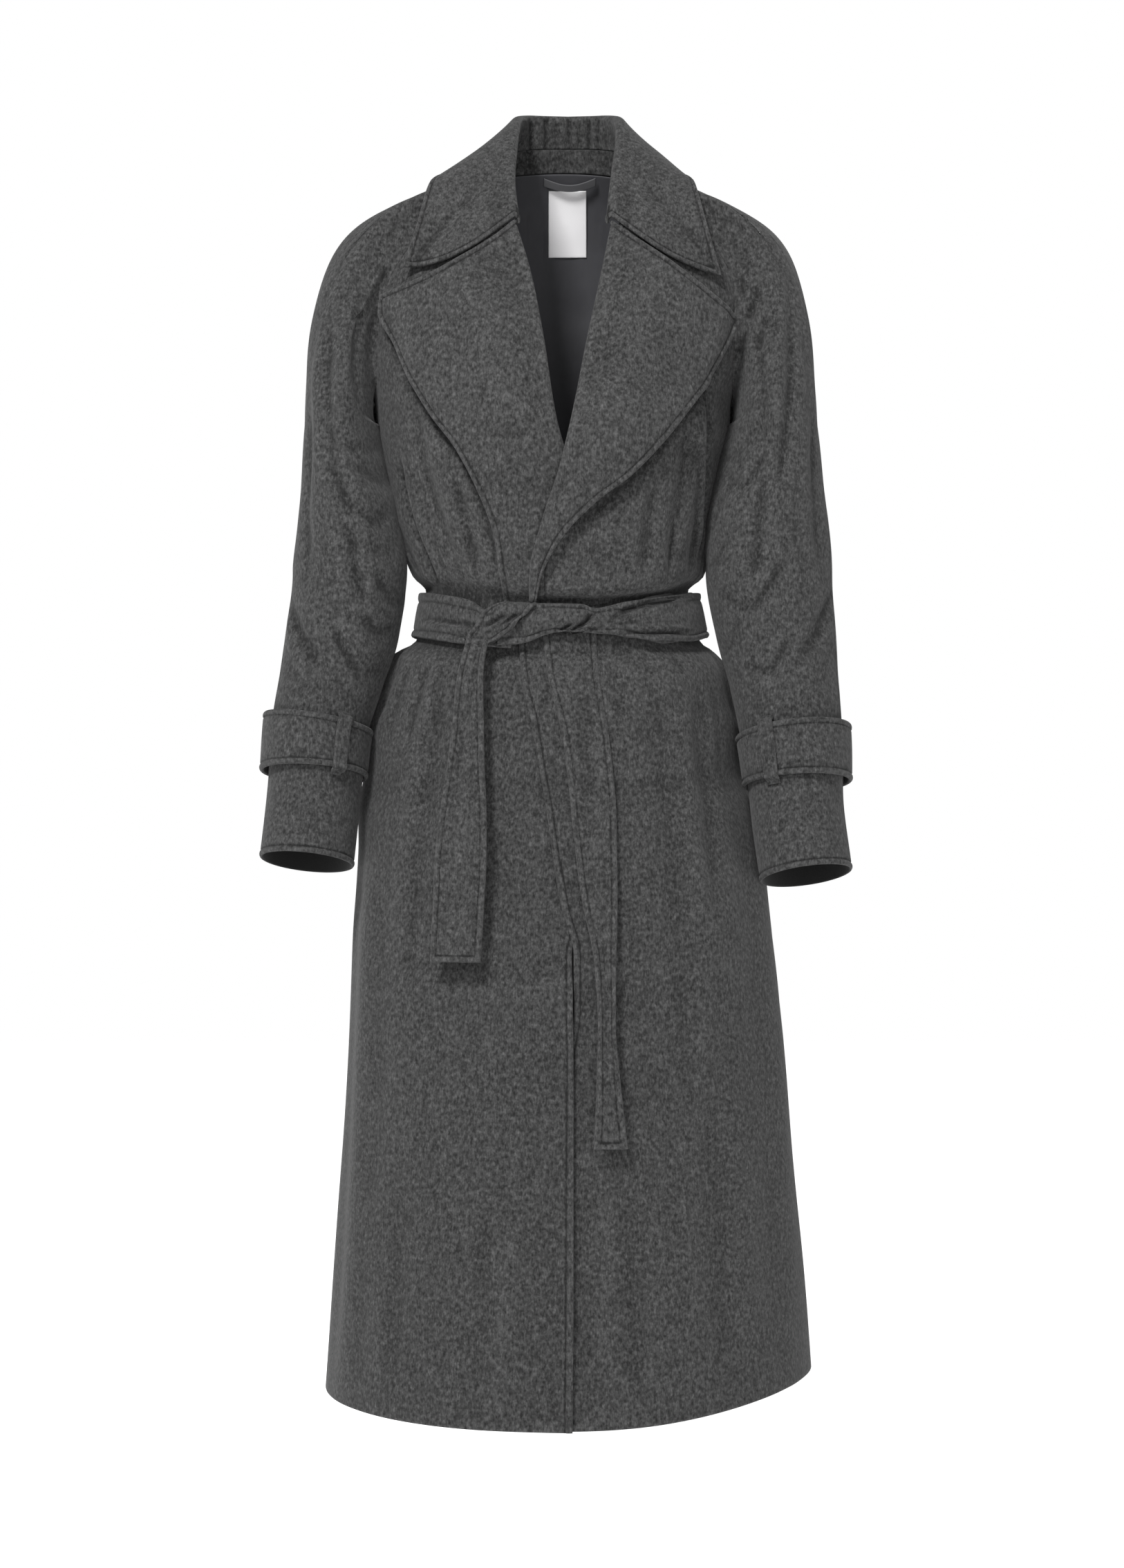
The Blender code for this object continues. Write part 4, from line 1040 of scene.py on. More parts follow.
def gathers(seed):
    """Short folds that fan out above and under the belt, all round."""
    draw = np.random.default_rng(seed)
    folds = []
    for turn in np.linspace(*GATHER_TURNS, GATHERS):
        turn = turn + draw.uniform(-4.0, 4.0)
        dip = float(belt_dip(turn))
        low, high = BELT_BOTTOM - 0.5 - dip, BELT_TOP + 0.6 - dip
        folds.append(gather(draw, turn, low, *LOW_GATHERS))
        if abs(turn) >= FRONT_TURN or draw.random() >= SKIPPED:
            folds.append(gather(draw, turn, high, *HIGH_GATHERS))
    return folds


def hanging_folds(seed):
    """Long soft flutes of the sides and the back of the skirt, and drag lines."""
    draw = np.random.default_rng(seed)
    folds = []
    for turn in FLUTES:
        turn = turn + draw.uniform(-4.0, 4.0)
        top = draw.uniform(-72.0, -56.0)
        lean = draw.uniform(-3.0, 3.0)
        middle = (turn + 0.5 * lean, mix(top, HEM, 0.5))
        corners = [(turn, top), middle, (turn + lean, HEM - 3.0)]
        folds.append(drawn(draw, round_fold, corners, (0.25, 0.5), (1.6, 2.6), (-0.8, 0.8)))
    for turn, reach, drop in DRAG_LINES:
        middle = (turn + 0.5 * reach, DRAG_TOP - 0.55 * drop)
        corners = [(turn, DRAG_TOP), middle, (turn + reach, DRAG_TOP - drop)]
        folds.append(round_fold(corners, draw.uniform(0.2, 0.3), draw.uniform(0.8, 1.2), 0.5))
    return folds


ROUND_FOLDS = gathers(11) + hanging_folds(12)
print("folds of the sides and the back:", len(ROUND_FOLDS))

# %% [markdown]
# ## Fronts and back
# A place on a panel is the form, lifted by how the panel lies, by its folds and
# by a slow ripple. Folds die out where the cloth is held: at the belt, at the
# armhole seams and at the neck.

# %% Cloth on the body
BELT_HOLD = 0.93  # share of a fold that the belt presses away
ARM_HOLD = 0.7  # and the share that is lost under the arm
ARM_TURN = 14.0  # how far round from the side seam that reaches
ARM_FADE = (-41.0, -36.0)  # heights between which it begins, above the belt
NECK_FADE = (-10.0, -4.0)  # heights between which the folds end at the neck


def calm_share(turn, height):
    """1 where the folds are free, and near 0 where the cloth is held."""
    belt = height + belt_dip(turn)
    over = ease(belt, BELT_TOP + 0.2, BELT_TOP + 1.2)
    under = ease(belt, BELT_BOTTOM - 1.2, BELT_BOTTOM - 0.2)
    off_side = np.abs(np.mod(turn + 180.0, 360.0) - 180.0) - SIDE_TURN
    arm = np.exp(-((off_side / ARM_TURN) ** 2)) * ease(height, *ARM_FADE)
    free = (1.0 - BELT_HOLD * under * (1.0 - over)) * (1.0 - ease(height, *NECK_FADE))
    return free * (1.0 - ARM_HOLD * arm)


def body_cloth(turn, height, lift):
    """A place on the body form with this lift, the folds and slow ripples."""
    base, normal = body_point(turn, height), body_normal(turn, height)
    relief = all_relief(BODY_FOLDS, base, normal) + all_relief(ROUND_FOLDS, base, normal)
    relief = relief + ripple(base, seed=3, size=17.0, height=0.16)
    return base + normal * col(lift + relief * calm_share(turn, height))


print("share of the folds left under the belt:", calm_share(0.0, BELT_BOTTOM).round(2))

# %% [markdown]
# The two fronts and the two halves of the back meet at the side seams and down
# the centre back, and their upper edges run along the raglan seams. Rows of the
# grid are level below the underarm; above it each row climbs from the armhole
# seam to the neck edge, so that the seams are grid lines and stay crisp. A
# front reaches a hair past the side seam, because light would pass between two
# panels that only touch.

# %% Fronts
ROLL_INSET = 0.85  # how far the panel ends inside the roll of its lapel
EDGE_CURL = {1: 0.35, -1: 0.45}  # how far the free edge of the upper front stands off
FRONT_WIDTH = 30.0
LOW_SHARE = 0.76  # share of a panel's rows that lie below the underarm
SEAM_TOP = 0.999  # the panels end just below the top of the armhole seam
SIDE_LAP = 0.0002  # share by which a front passes the side seam
CURL_FADE = (-53.0, -50.0)  # heights between which the curl ends, under the belt


def panel_rows(v):
    """Height below the underarm, and the share of the armhole seam above it."""
    height = mix(HEM, UNDERARM, np.clip(v / LOW_SHARE, 0.0, 1.0))
    return height, np.clip((v - LOW_SHARE) / (1.0 - LOW_SHARE), 0.0, 1.0)


def front_end(side, height):
    """x at which a front ends: its free edge, or inside the roll of the lapel."""
    high = BELT_TOP - BELT_DIP
    return EDGES[side].at(height)[0] + side * ROLL_INSET * ease(height, high - 1.0, high)


def front_form(side):
    neck_height = EDGES[side].key[-1]

    def form(u, v):
        u = -SIDE_LAP + u * (1.0 + SIDE_LAP)
        low, share = panel_rows(v)
        seam_turn, seam_height = seam_front(side, share * SEAM_TOP)
        upper = share > 0.0
        start_turn = np.where(upper, seam_turn, side * SIDE_TURN)
        start_height = np.where(upper, seam_height, low)
        end_height = np.where(upper, mix(UNDERARM, neck_height, share), low)
        end_low = end_height - BELT_DIP * waist_share(end_height)
        turn = mix(start_turn, front_turn(front_end(side, end_low), end_low), u)
        height = mix(start_height, end_height, ease(u, 0.0, 1.0))
        height = height - belt_dip(turn) * waist_share(height)
        height = height + hem_rise(turn, height)
        on_top = ease(side * (height - CROSSING), -CROSSING_HALF, CROSSING_HALF)
        on_top = on_top * (1.0 - ease(height, *CURL_FADE))
        curl = EDGE_CURL[side] * on_top * np.exp((u - 1.0) * FRONT_WIDTH)
        return body_cloth(turn, height, LIFTS[side](turn, height) + curl)

    return form


for side, word in SIDES.items():
    rims = ("seam", "edge", "seam", "seam")
    shell(f"front_{word}", 84, 270, front_form(side), -side, CLOTH, rims)

# %% [markdown]
# The back is one form from side seam to side seam. Its halves are cut from it
# with a hair of overlap, and the lining will use the same form, just inside.

# %% Back
HAIR = 0.00001


def back_form(u, v):
    u = HAIR + u * (1.0 - 2.0 * HAIR)
    low, share = panel_rows(v)
    left_turn, left_height = seam_back(1, share * SEAM_TOP)
    right_turn, right_height = seam_back(-1, share * SEAM_TOP)
    upper, is_left = share > 0.0, u < 0.5
    side_turn = np.where(is_left, SIDE_TURN, 360.0 - SIDE_TURN)
    seam_turn = np.where(is_left, left_turn, right_turn + 360.0)
    seam_turn = np.where(upper, seam_turn, side_turn)
    seam_height = np.where(upper, np.where(is_left, left_height, right_height), low)
    middle = np.where(upper, mix(UNDERARM, BACK_NECK, share), low)
    half = np.abs(2.0 * u - 1.0)
    turn = mix(180.0, seam_turn, half)
    height = mix(middle, seam_height, half * half)
    height = height + hem_rise(turn, height)
    return body_cloth(turn, height, np.zeros(np.shape(turn)))


def half_back_form(side):
    """One half of the back, with its share of the centre back seam."""

    def form(u, v):
        across = 0.5 * (HAIR + (1.0 - 2.0 * HAIR) * u)
        return back_form(across if side > 0 else 0.5 + across, v)

    return form


for side, word in SIDES.items():
    shell(f"back_{word}", 66, 260, half_back_form(side), 1, CLOTH, SEAMS)

# %% [markdown]
# ## Sleeves
# Each sleeve is a front and a back half, joined by a seam down the outside of
# the arm and one under it. The folds of a hanging arm gather at the inner elbow
# and under the armhole, with long soft ones running down the upper arm.

# %% Sleeve folds
# long soft folds of the sleeve fronts: corners as x and height, depth, width, lip
SLEEVE_FOLDS = {
    -1: (
        ([(-22.6, -13.5), (-22.9, -22.0), (-22.2, -29.0), (-21.0, -36.0)], 0.55, 0.9, 0.5),
        ([(-21.6, -30.0), (-20.4, -38.0), (-19.3, -45.0)], 0.45, 0.8, -0.5),
        ([(-19.2, -12.0), (-19.9, -19.0), (-19.8, -26.0)], 0.35, 0.8, 0.5),
        ([(-24.6, -24.0), (-24.9, -33.0), (-24.8, -43.0)], 0.36, 0.9, -0.4),
        ([(-26.8, -43.0), (-25.2, -47.5), (-23.4, -50.5)], 0.40, 0.8, 0.5),
    ),
    1: (
        ([(22.3, -10.5), (22.4, -20.0), (21.8, -27.0), (20.4, -34.5)], 0.60, 0.8, 0.5),
        ([(19.0, -12.0), (18.6, -14.5), (18.0, -16.5)], 0.45, 0.6, 0.6),
        ([(19.8, -15.0), (19.3, -17.5), (18.7, -19.5)], 0.40, 0.6, 0.6),
        ([(19.9, -30.0), (18.9, -36.0), (18.5, -43.0)], 0.42, 0.9, -0.5),
        ([(24.4, -24.0), (24.6, -33.0), (25.6, -43.0)], 0.36, 0.9, 0.4),
        ([(26.6, -42.0), (25.0, -46.5), (22.6, -49.5)], 0.40, 0.8, -0.5),
    ),
}
CREASE_COUNT = 8  # on each side of the arm
# the creases across the front and the back of an arm: travels, then bounds of
# angle, half length, slant, depth and width, and how far the far end slants
CREASES = (
    ((1.06, 1.62), (95.0, 165.0), (26.0, 58.0), (0.02, 0.10), (0.14, 0.34), (0.5, 1.0), -0.4),
    ((1.02, 1.60), (200.0, 300.0), (24.0, 60.0), (-0.10, 0.10), (0.16, 0.36), (0.6, 1.1), 1.0),
)
UPPER_ARM = (30.0, 74.0, 104.0, 236.0, 268.0, 318.0)  # angles of its soft folds


def elbow_folds(arm, seed):
    """Creases across the arm, and soft folds down the upper arm."""
    draw = np.random.default_rng(seed)
    folds = []
    lay = partial(sleeve_fold, arm)
    for travels, angles, lengths, slants, depth, width, end in CREASES:
        for travel in np.linspace(*travels, CREASE_COUNT):
            centre, half = draw.uniform(*angles), draw.uniform(*lengths)
            rise = draw.uniform(*slants)
            middle, last = (centre, travel + 0.3 * rise), (centre + half, travel + end * rise)
            corners = [(centre - half, travel - rise), middle, last]
            folds.append(drawn(draw, lay, corners, depth, width, (0.2, 0.6)))
    for angle in UPPER_ARM:
        angle = angle + draw.uniform(-6.0, 6.0)
        start, stop = draw.uniform(0.25, 0.5), draw.uniform(1.0, 1.3)
        middle = (angle + 3.0, mix(start, stop, 0.5))
        corners = [(angle, start), middle, (angle + draw.uniform(-8.0, 14.0), stop)]
        folds.append(drawn(draw, lay, corners, (0.12, 0.28), (0.9, 1.5), (-0.5, 0.5)))
    return folds


print("long folds, left and right:", [len(SLEEVE_FOLDS[side]) for side in SIDES])

# %% [markdown]
# Each half is the sleeve surface between its two seams, with its folds laid on.
# At the armhole the cap's edge reaches a hair under the body, so that no light
# passes through the seam; under the arm the cloth is snug and nearly flat.

# %% Sleeve halves
OVERARM_SEAM = 16.0
UNDERARM_FOLD = 7.0
SEAM_LAP, SEAM_SINK = 0.08, 0.03  # how far the cap's edge reaches under the body's
CAP_CALM = (0.02, 0.3)  # travels between which the folds begin below the seam
STRAP_CALM = (1.52, 1.62)  # and between which they fade above the strap
TRAVEL_START = 0.0005
HAIR_OPEN = 0.0001  # share of its width that a half leaves open at each seam
SNUG = 0.34  # how much further out a sleeve lies on its inside
SNUG_START, SNUG_END = (0.9, 1.0), (1.15, 1.4)  # travels between which it comes and goes
INNER_HALF = 45.0  # how far round the arm its inside reaches
LAP_END = 0.03  # travel at which the lap under the body ends


def sleeve_form(arm, front, folds):
    way = 1.0 if front else -1.0

    def form(u, v):
        travel = TRAVEL_START + (2.0 - TRAVEL_START) * v
        last = way * (180.0 - UNDERARM_FOLD * (1.0 - ease(travel, 0.0, 0.7)))
        angle = mix(OVERARM_SEAM, last, HAIR_OPEN + (1.0 - 2.0 * HAIR_OPEN) * u)
        place, normal = arm.surface(angle, travel), arm.normal(angle, travel)
        calm = ease(travel, *CAP_CALM) * (1.0 - 0.85 * ease(travel, *STRAP_CALM))
        relief = all_relief(folds, place, normal)
        relief = relief + ripple(place, seed=5, size=11.0, height=0.14)
        inner = np.exp(-(((np.abs(angle) - 180.0) / INNER_HALF) ** 2))
        snug = SNUG * inner * ease(travel, *SNUG_START) * (1.0 - ease(travel, *SNUG_END))
        lapped = 1.0 - ease(travel, 0.0, LAP_END)
        lapped = lapped * ease(np.abs(angle), NECK_ANGLE, NECK_ANGLE + 3.0)
        lap = away(arm.side, angle) * SEAM_LAP + normal * SEAM_SINK
        place = place - lap * col(lapped)
        return place + normal * col(relief * calm * (1.0 - 0.8 * inner) + snug)

    return form


for side, word in SIDES.items():
    arm = ARMS[side]
    folds = elbow_folds(arm, 20 + side)
    folds += [sleeve_front_fold(arm, *fold) for fold in SLEEVE_FOLDS[side]]
    for front, half in ((True, "front"), (False, "back")):
        form = sleeve_form(arm, front, folds)
        rims = ("seam", "seam", "seam", "edge")
        shell(f"sleeve_{half}_{word}", 46, 170, form, side if front else -side, CLOTH, rims)

# %% [markdown]
# ## Lapels
# A lapel is the front turned over at its roll, with the facing showing. It
# starts tucked behind the roll, comes round it in a soft curl and lies on the
# front, a little loose towards its point. Two layers pressed together make it
# thicker than the panel, which is why its edge casts a shadow.

# %% Lapel lines
# share of the lapel from its break up to the gorge, height of the roll, x and
# height of the outer edge
LAPEL_LEFT = Track((
    (0.00, -43.3, -2.45, -43.4),
    (0.08, -41.8, -2.00, -41.7),
    (0.17, -39.0, -0.85, -39.0),
    (0.28, -35.6, 1.15, -36.4),
    (0.38, -32.5, 3.20, -34.4),
    (0.48, -29.0, 5.75, -32.2),
    (0.63, -23.0, 9.10, -28.2),
    (0.80, -15.5, 12.90, -23.0),
    (0.91, -10.5, 15.30, -19.0),
    (1.00, -6.8, 16.50, -16.2),
))
LAPEL_RIGHT = Track((
    (-0.15, -44.0, -5.30, -45.6),
    (0.00, -40.9, -5.60, -42.7),
    (0.10, -39.3, -5.95, -40.9),
    (0.22, -36.0, -6.40, -37.8),
    (0.36, -31.5, -8.10, -33.1),
    (0.48, -27.5, -10.00, -29.3),
    (0.58, -24.0, -12.20, -26.0),
    (0.78, -16.0, -15.30, -19.5),
    (0.92, -9.8, -16.85, -15.7),
    (1.00, -6.7, -16.70, -14.1),
))
LAPELS = {1: LAPEL_LEFT, -1: LAPEL_RIGHT}
print("lapel points, x and height:", [LAPELS[side].at(1.0)[1:].tolist() for side in SIDES])

# %% [markdown]
# The lapel's cloth lies on the front it is turned over on: it takes that
# front's lift, a little of its folds, and stands off more towards its point.

# %% Lapels
GORGE_BOW = {1: 0.25, -1: 1.2}  # how far the top edge of each lapel dips
LAPEL_GAP = 0.14
LAPEL_STAND = 1.0  # how far the loose part of a lapel stands off
GORGE = (0.8, 1.0)  # shares of the lapel over which the gorge dips
BREAK = (-41.0, -38.0)  # heights between which the lapel leaves its break
BREAK_UP = 0.9  # how much higher its lift is read at the break
BEHIND = 0.55  # how far behind the roll it starts
LEAST_GAP = 0.05  # least gap to the inside of the front
CROSS_TOP = -27.0  # below it the left lapel passes over the right one
CROSS_GAP = 0.12  # between the two lapels there
CROSS_FADE = (-43.3, -42.5)  # heights between which that begins, at the belt
LOOSE = {1: (-42.0, -34.0), -1: (-33.0, -22.0)}  # heights between which it comes loose
ROLL_CURL = 0.55  # width of the rounded roll
FOLD_SHARE = 0.35  # share of the front's folds that show through


def lapel_form(side):
    track = LAPELS[side]

    def form(u, v):
        v = mix(track.key[0], track.key[-1], v)
        roll_height, tip_x, tip_height = track.at(v)
        roll_x = EDGES[side].at(roll_height)[0]
        width = np.hypot(tip_x - roll_x, tip_height - roll_height)
        curl = np.minimum(ROLL_CURL / width, 0.5)
        x = mix(roll_x, tip_x, u)
        height = mix(roll_height, tip_height, u)
        height = height - GORGE_BOW[side] * np.sin(np.pi * u) * ease(v, *GORGE)
        turn = front_turn(x, height)
        break_lift = BREAK_UP * (1.0 - ease(height, *BREAK))
        rest = LIFTS[side](turn, height + break_lift) + LAPEL_GAP
        rest = rest + LAPEL_STAND * ease(height, *LOOSE[side]) * ease(u, 0.0, 0.5)
        lowest = np.full(np.shape(u), -CLOTH - LEAST_GAP)
        if side > 0:
            under = LAPEL_GAP + (DOUBLE + CROSS_GAP) * ease(height, *CROSS_FADE)
            lowest = np.where(height < CROSS_TOP, under, lowest)
        turned = np.sqrt(1.0 - (1.0 - np.clip(u / curl, 0.0, 1.0)) ** 2)
        lift = mix(np.maximum(rest - BEHIND, lowest), rest, turned) + DOUBLE
        place, normal = body_point(turn, height), body_normal(turn, height)
        relief = ripple(place, seed=8, size=12.0, height=0.14)
        relief = relief + FOLD_SHARE * all_relief(BODY_FOLDS, place, normal)
        return place + normal * col(lift + relief * turned)

    return form


for side, word in SIDES.items():
    rims = ("seam", "edge", "seam", "edge")
    shell(f"lapel_{word}", 60, 100, lapel_form(side), side, DOUBLE, rims)

# %% [markdown]
# ## Collar
# The collar is a band with two faces: the stand rises from the neck seam, the
# fall rolls over its top and spreads over the shoulders to two points. It is
# swept from the centre back to each front end along three lines: the neck seam
# as its foot, the roll, and the outer edge.

# %% Collar lines
# share from the centre back to the front end, then the roll and the outer
# edge of the leaf, each as x, y, z
COLLAR = Track((
    (0.00, 0.00, 6.7, 6.2, 0.0, 11.1, -2.9),
    (0.22, 3.25, 6.0, 6.15, 6.2, 10.0, -3.0),
    (0.42, 4.95, 3.6, 5.6, 10.2, 6.8, -1.75),
    (0.56, 5.30, 0.9, 4.6, 12.0, 2.2, -1.0),
    (0.70, 5.40, -2.0, 2.3, 12.9, -3.5, -2.3),
    (0.85, 5.20, -5.2, -1.9, 14.3, -7.0, -7.7),
    (1.00, 4.65, -8.2, -6.25, 15.5, -7.6, -12.1),
))
COLLAR_SHIFT = 0.6  # the collar's top stands this much to the wearer's left
TIP_IN, TIP_UP = 0.15, 0.8  # the right tip lies this much further in and higher
FOOT_GAP, FOOT_RISE = 0.05, 0.10


def neck_seam(side, share):
    """The neck seam from the centre back, 0, to the front edge, 1."""
    one = np.ones(np.shape(share))
    back_top, front_top = seam_back(side, one), seam_front(side, one)
    edge = EDGES[side]
    t = np.clip(share / BACK_SHARE, 0.0, 1.0)
    back = body_point(mix(side * 180.0, back_top[0], t), mix(BACK_NECK, back_top[1], t * t))
    t = np.clip((share - FRONT_SHARE) / (1.0 - FRONT_SHARE), 0.0, 1.0)
    low = edge.key[-1]
    turn = mix(front_top[0], front_turn(edge.at(low)[0], low), t)
    front = body_point(turn, mix(front_top[1], low, ease(t, 0.0, 1.0)))
    t = np.clip((share - BACK_SHARE) / (FRONT_SHARE - BACK_SHARE), 0.0, 1.0)
    arc = mix(body_point(*back_top), body_point(*front_top), col(t))
    place = np.where(col(share > FRONT_SHARE), front, arc)
    return np.where(col(share < BACK_SHARE), back, place)


def collar_frame(u):
    """Roll, edge, foot and outward direction at u, -1 (right tip) to 1 (left)."""
    side = np.where(u >= 0.0, 1.0, -1.0)
    values = COLLAR.at(np.abs(u))
    tip = np.where(u < 0.0, ease(np.abs(u), 0.8, 1.0), 0.0)
    roll = points(side * (values[0] - TIP_IN * tip), values[1], values[2])
    edge = points(side * values[3], values[4], values[5] + TIP_UP * tip)
    for place in (roll, edge):
        place[..., 0] += COLLAR_SHIFT * ease(place[..., 2], -4.0, 5.0)
    out = unit((edge - roll) * (1.0, 1.0, 0.0))
    foot = np.where(col(u >= 0.0), neck_seam(1, np.abs(u)), neck_seam(-1, np.abs(u)))
    foot = foot - out * (0.5 * DOUBLE + FOOT_GAP) + (0.0, 0.0, FOOT_RISE)
    return roll, edge, foot, out


corner = collar_frame(np.array([0.0]))[0]
print("top of the roll at the centre back, cm:", corner.round(1).tolist())

# %% [markdown]
# Its cross-section goes up the stand, round the roll as an arc, so the cloth
# keeps its thickness as it turns over, and straight down the fall to the edge.

# %% Collar section
ROLL_RADIUS = 0.46
STAND_SHARE = 0.47  # the seam between stand and collar, from the foot up
ROLL_START, ROLL_END = 0.2, 0.45  # v at the two sides of the roll
COLLAR_BOW = {1: 1.0, -1: 1.5}  # dip of the front edge between gorge and tip
COVER = 0.75  # how far the leaf stays in front of the body
TUCK = (0.0, 0.42, -0.30)  # the ends of the stand are tucked back and down
# shares of the way to a front end over which the roll gets thinner, the stand
# gets lower, the leaf is held before the body, and the stand is tucked away
THINNER, LOWER, HELD, TUCKED = (0.75, 1.0), (0.8, 0.97), (0.55, 0.95), (0.88, 1.0)


def collar_middle(u, v):
    """Middle of the collar cloth, from the stand seam at v 0 to the edge at 1."""
    roll, edge, foot, out = collar_frame(u)
    far = np.abs(u)
    radius = col(ROLL_RADIUS * (1.0 - 0.45 * ease(far, *THINNER)))
    up = np.array((0.0, 0.0, 1.0))
    top = roll - up * radius
    inside = top - out * radius
    seam = mix(foot, inside, STAND_SHARE)
    seam = mix(seam, inside - up * 0.3, col(ease(far, *LOWER)))
    stand = mix(seam, inside, col(np.clip(v / ROLL_START, 0.0, 1.0)))

    fall_out = ((edge - roll) * out).sum(axis=-1)
    last = np.arctan2(fall_out, edge[..., 2] - roll[..., 2])
    a = col(last * np.clip((v - ROLL_START) / (ROLL_END - ROLL_START), 0.0, 1.0))
    roll_arc = top - out * radius * np.cos(a) + up * radius * np.sin(a)
    outside = top - out * radius * np.cos(col(last)) + up * radius * np.sin(col(last))

    fall = np.clip((v - ROLL_END) / (1.0 - ROLL_END), 0.0, 1.0)
    leaf = mix(outside, edge, col(fall))
    bow = np.where(u >= 0.0, COLLAR_BOW[1], COLLAR_BOW[-1])
    leaf[..., 2] -= bow * np.sin(np.pi * fall) * ease(far, 0.8, 1.0)
    turn = front_turn(leaf[..., 0], leaf[..., 2])
    cover = body_point(turn, leaf[..., 2])[..., 1] - COVER
    hold = ease(far, *HELD) * ease(fall, 0.0, 0.3)
    leaf[..., 1] = mix(leaf[..., 1], np.minimum(leaf[..., 1], cover), hold)

    place = np.where(col(v <= ROLL_END), roll_arc, leaf)
    place = np.where(col(v <= ROLL_START), stand, place)
    tucked = ease(far, *TUCKED) * (1.0 - ease(v, 0.33, 0.55))
    return place + np.array(TUCK) * col(tucked)


ends = collar_middle(np.zeros(2), np.array([ROLL_END, 1.0]))
print("fall at the centre back, cm:", np.linalg.norm(ends[1] - ends[0]).round(1))

# %% [markdown]
# The collar wears its cloth half a thickness outside that middle. At the back,
# where it is curved most, the inside of the roll is pressed into small creases.

# %% Collar
# x, depth and width of the small creases at the back
COLLAR_CREASES = (
    (-1.55, 0.50, 0.26),
    (-0.60, 0.20, 0.30),
    (0.75, 0.28, 0.26),
    (1.70, 0.18, 0.24),
    (2.70, 0.42, 0.26),
    (3.60, 0.22, 0.22),
    (-3.10, 0.26, 0.24),
)
CREASE_HALF = 0.5  # share of the way to a front end that they reach
CREASE_FADE = (0.19, 0.31)  # v over which they end on the roll
RIPPLE_START = (0.45, 0.8)  # v over which the ripple begins on the fall
COLLAR_STEP = 0.01
STAND_TOP = 0.985  # the stand ends just below its seam
STAND_REACH = 0.60  # share of the collar that its stand runs along


def collar_form(u, v):
    u, step = 2.0 * u - 1.0, COLLAR_STEP
    ahead, behind = np.clip(u + step, -1, 1), np.clip(u - step, -1, 1)
    along = collar_middle(ahead, v) - collar_middle(behind, v)
    above, below = np.clip(v + step, 0, 1), np.clip(v - step, 0, 1)
    normal = unit(np.cross(along, collar_middle(u, above) - collar_middle(u, below)))
    place = collar_middle(u, v) + normal * (0.5 * DOUBLE)
    relief = ripple(place, seed=9, size=9.0, height=0.08) * ease(v, *RIPPLE_START)
    for at, depth, width in COLLAR_CREASES:
        crease = depth * np.exp(-(((place[..., 0] - at) / width) ** 2))
        crease = crease * (1.0 - ease(v, *CREASE_FADE)) * (np.abs(u) < CREASE_HALF)
        relief = relief - crease
    return place + normal * col(relief)


def stand_form(u, v):
    u = (2.0 * u - 1.0) * STAND_REACH
    _, _, foot, out = collar_frame(u)
    seam = collar_middle(u, np.zeros(np.shape(u)))
    return mix(foot, seam, col(v * STAND_TOP)) - out * (0.5 * DOUBLE)


collar_rims = ("edge", "edge", "seam", "edge")
shell("collar_fall", 230, 60, collar_form, 1, DOUBLE, collar_rims)
shell("collar_stand", 120, 14, stand_form, 1, DOUBLE, SEAMS)

# %% [markdown]
# ## Belt
# The belt is a stitched strip that runs once round the waist. At the front its
# end comes from the wearer's left, twists over the band and drops as the short
# tail, while the other end hangs below from behind. A rigged knot would be more
# than the coat needs, so the band, the twist and the tails are strips on the
# same body form, each at its own height above it.

# %% Belt band
BELT_THICK = 0.42
BELT_PLAY = 0.17
BAND_START, BAND_END = 26.0, 345.0  # turns between which the band itself shows
NARROWING = 18.0  # turn over which it widens from the knot
NARROW_END = (318.0, 342.0)  # turns between which it narrows again
STRIP_RIMS = ("seam", "seam", "edge", "edge")
BELT_FOLDS = front_folds(
    ([(-13.2, -45.2), (-10.0, -45.9), (-6.5, -46.6)], 0.30, 0.40, 0.6),
    ([(-11.0, -46.9), (-8.5, -47.2), (-6.0, -47.3)], 0.08, 0.5, -0.5),
)


def belt_lift(turn):
    return mix(BELT_PLAY, LAP + BELT_PLAY, overlap_share(turn))


def on_body(turn, height, lift, folds, seed, size, height_of_ripple):
    """A strip on the body form, with its own folds and ripple."""
    place, normal = body_point(turn, height), body_normal(turn, height)
    relief = all_relief(folds, place, normal) + ripple(place, seed, size, height_of_ripple)
    return place + normal * col(lift + relief)


def belt_form(u, v):
    """The knot draws the band together at both of its ends."""
    turn = mix(BAND_START, BAND_END, u)
    near = np.where(turn < 180.0, turn, turn - 360.0)
    first = 1.0 - ease(turn, BAND_START, BAND_START + NARROWING)
    low = BELT_BOTTOM + 1.2 * first
    high = BELT_TOP - 1.0 * first - 1.7 * ease(turn, *NARROW_END)
    height = mix(low, high, v) - belt_dip(near)
    return on_body(near, height, belt_lift(near) + BELT_THICK, BELT_FOLDS, 4, 9.0, 0.10)


shell("belt_band", 290, 20, belt_form, 1, BELT_THICK, STRIP_RIMS)

# %% [markdown]
# The twist is a strip of its own table. Its creases are narrow and deep, where
# the belt is pulled through, and both of its edges turn over.

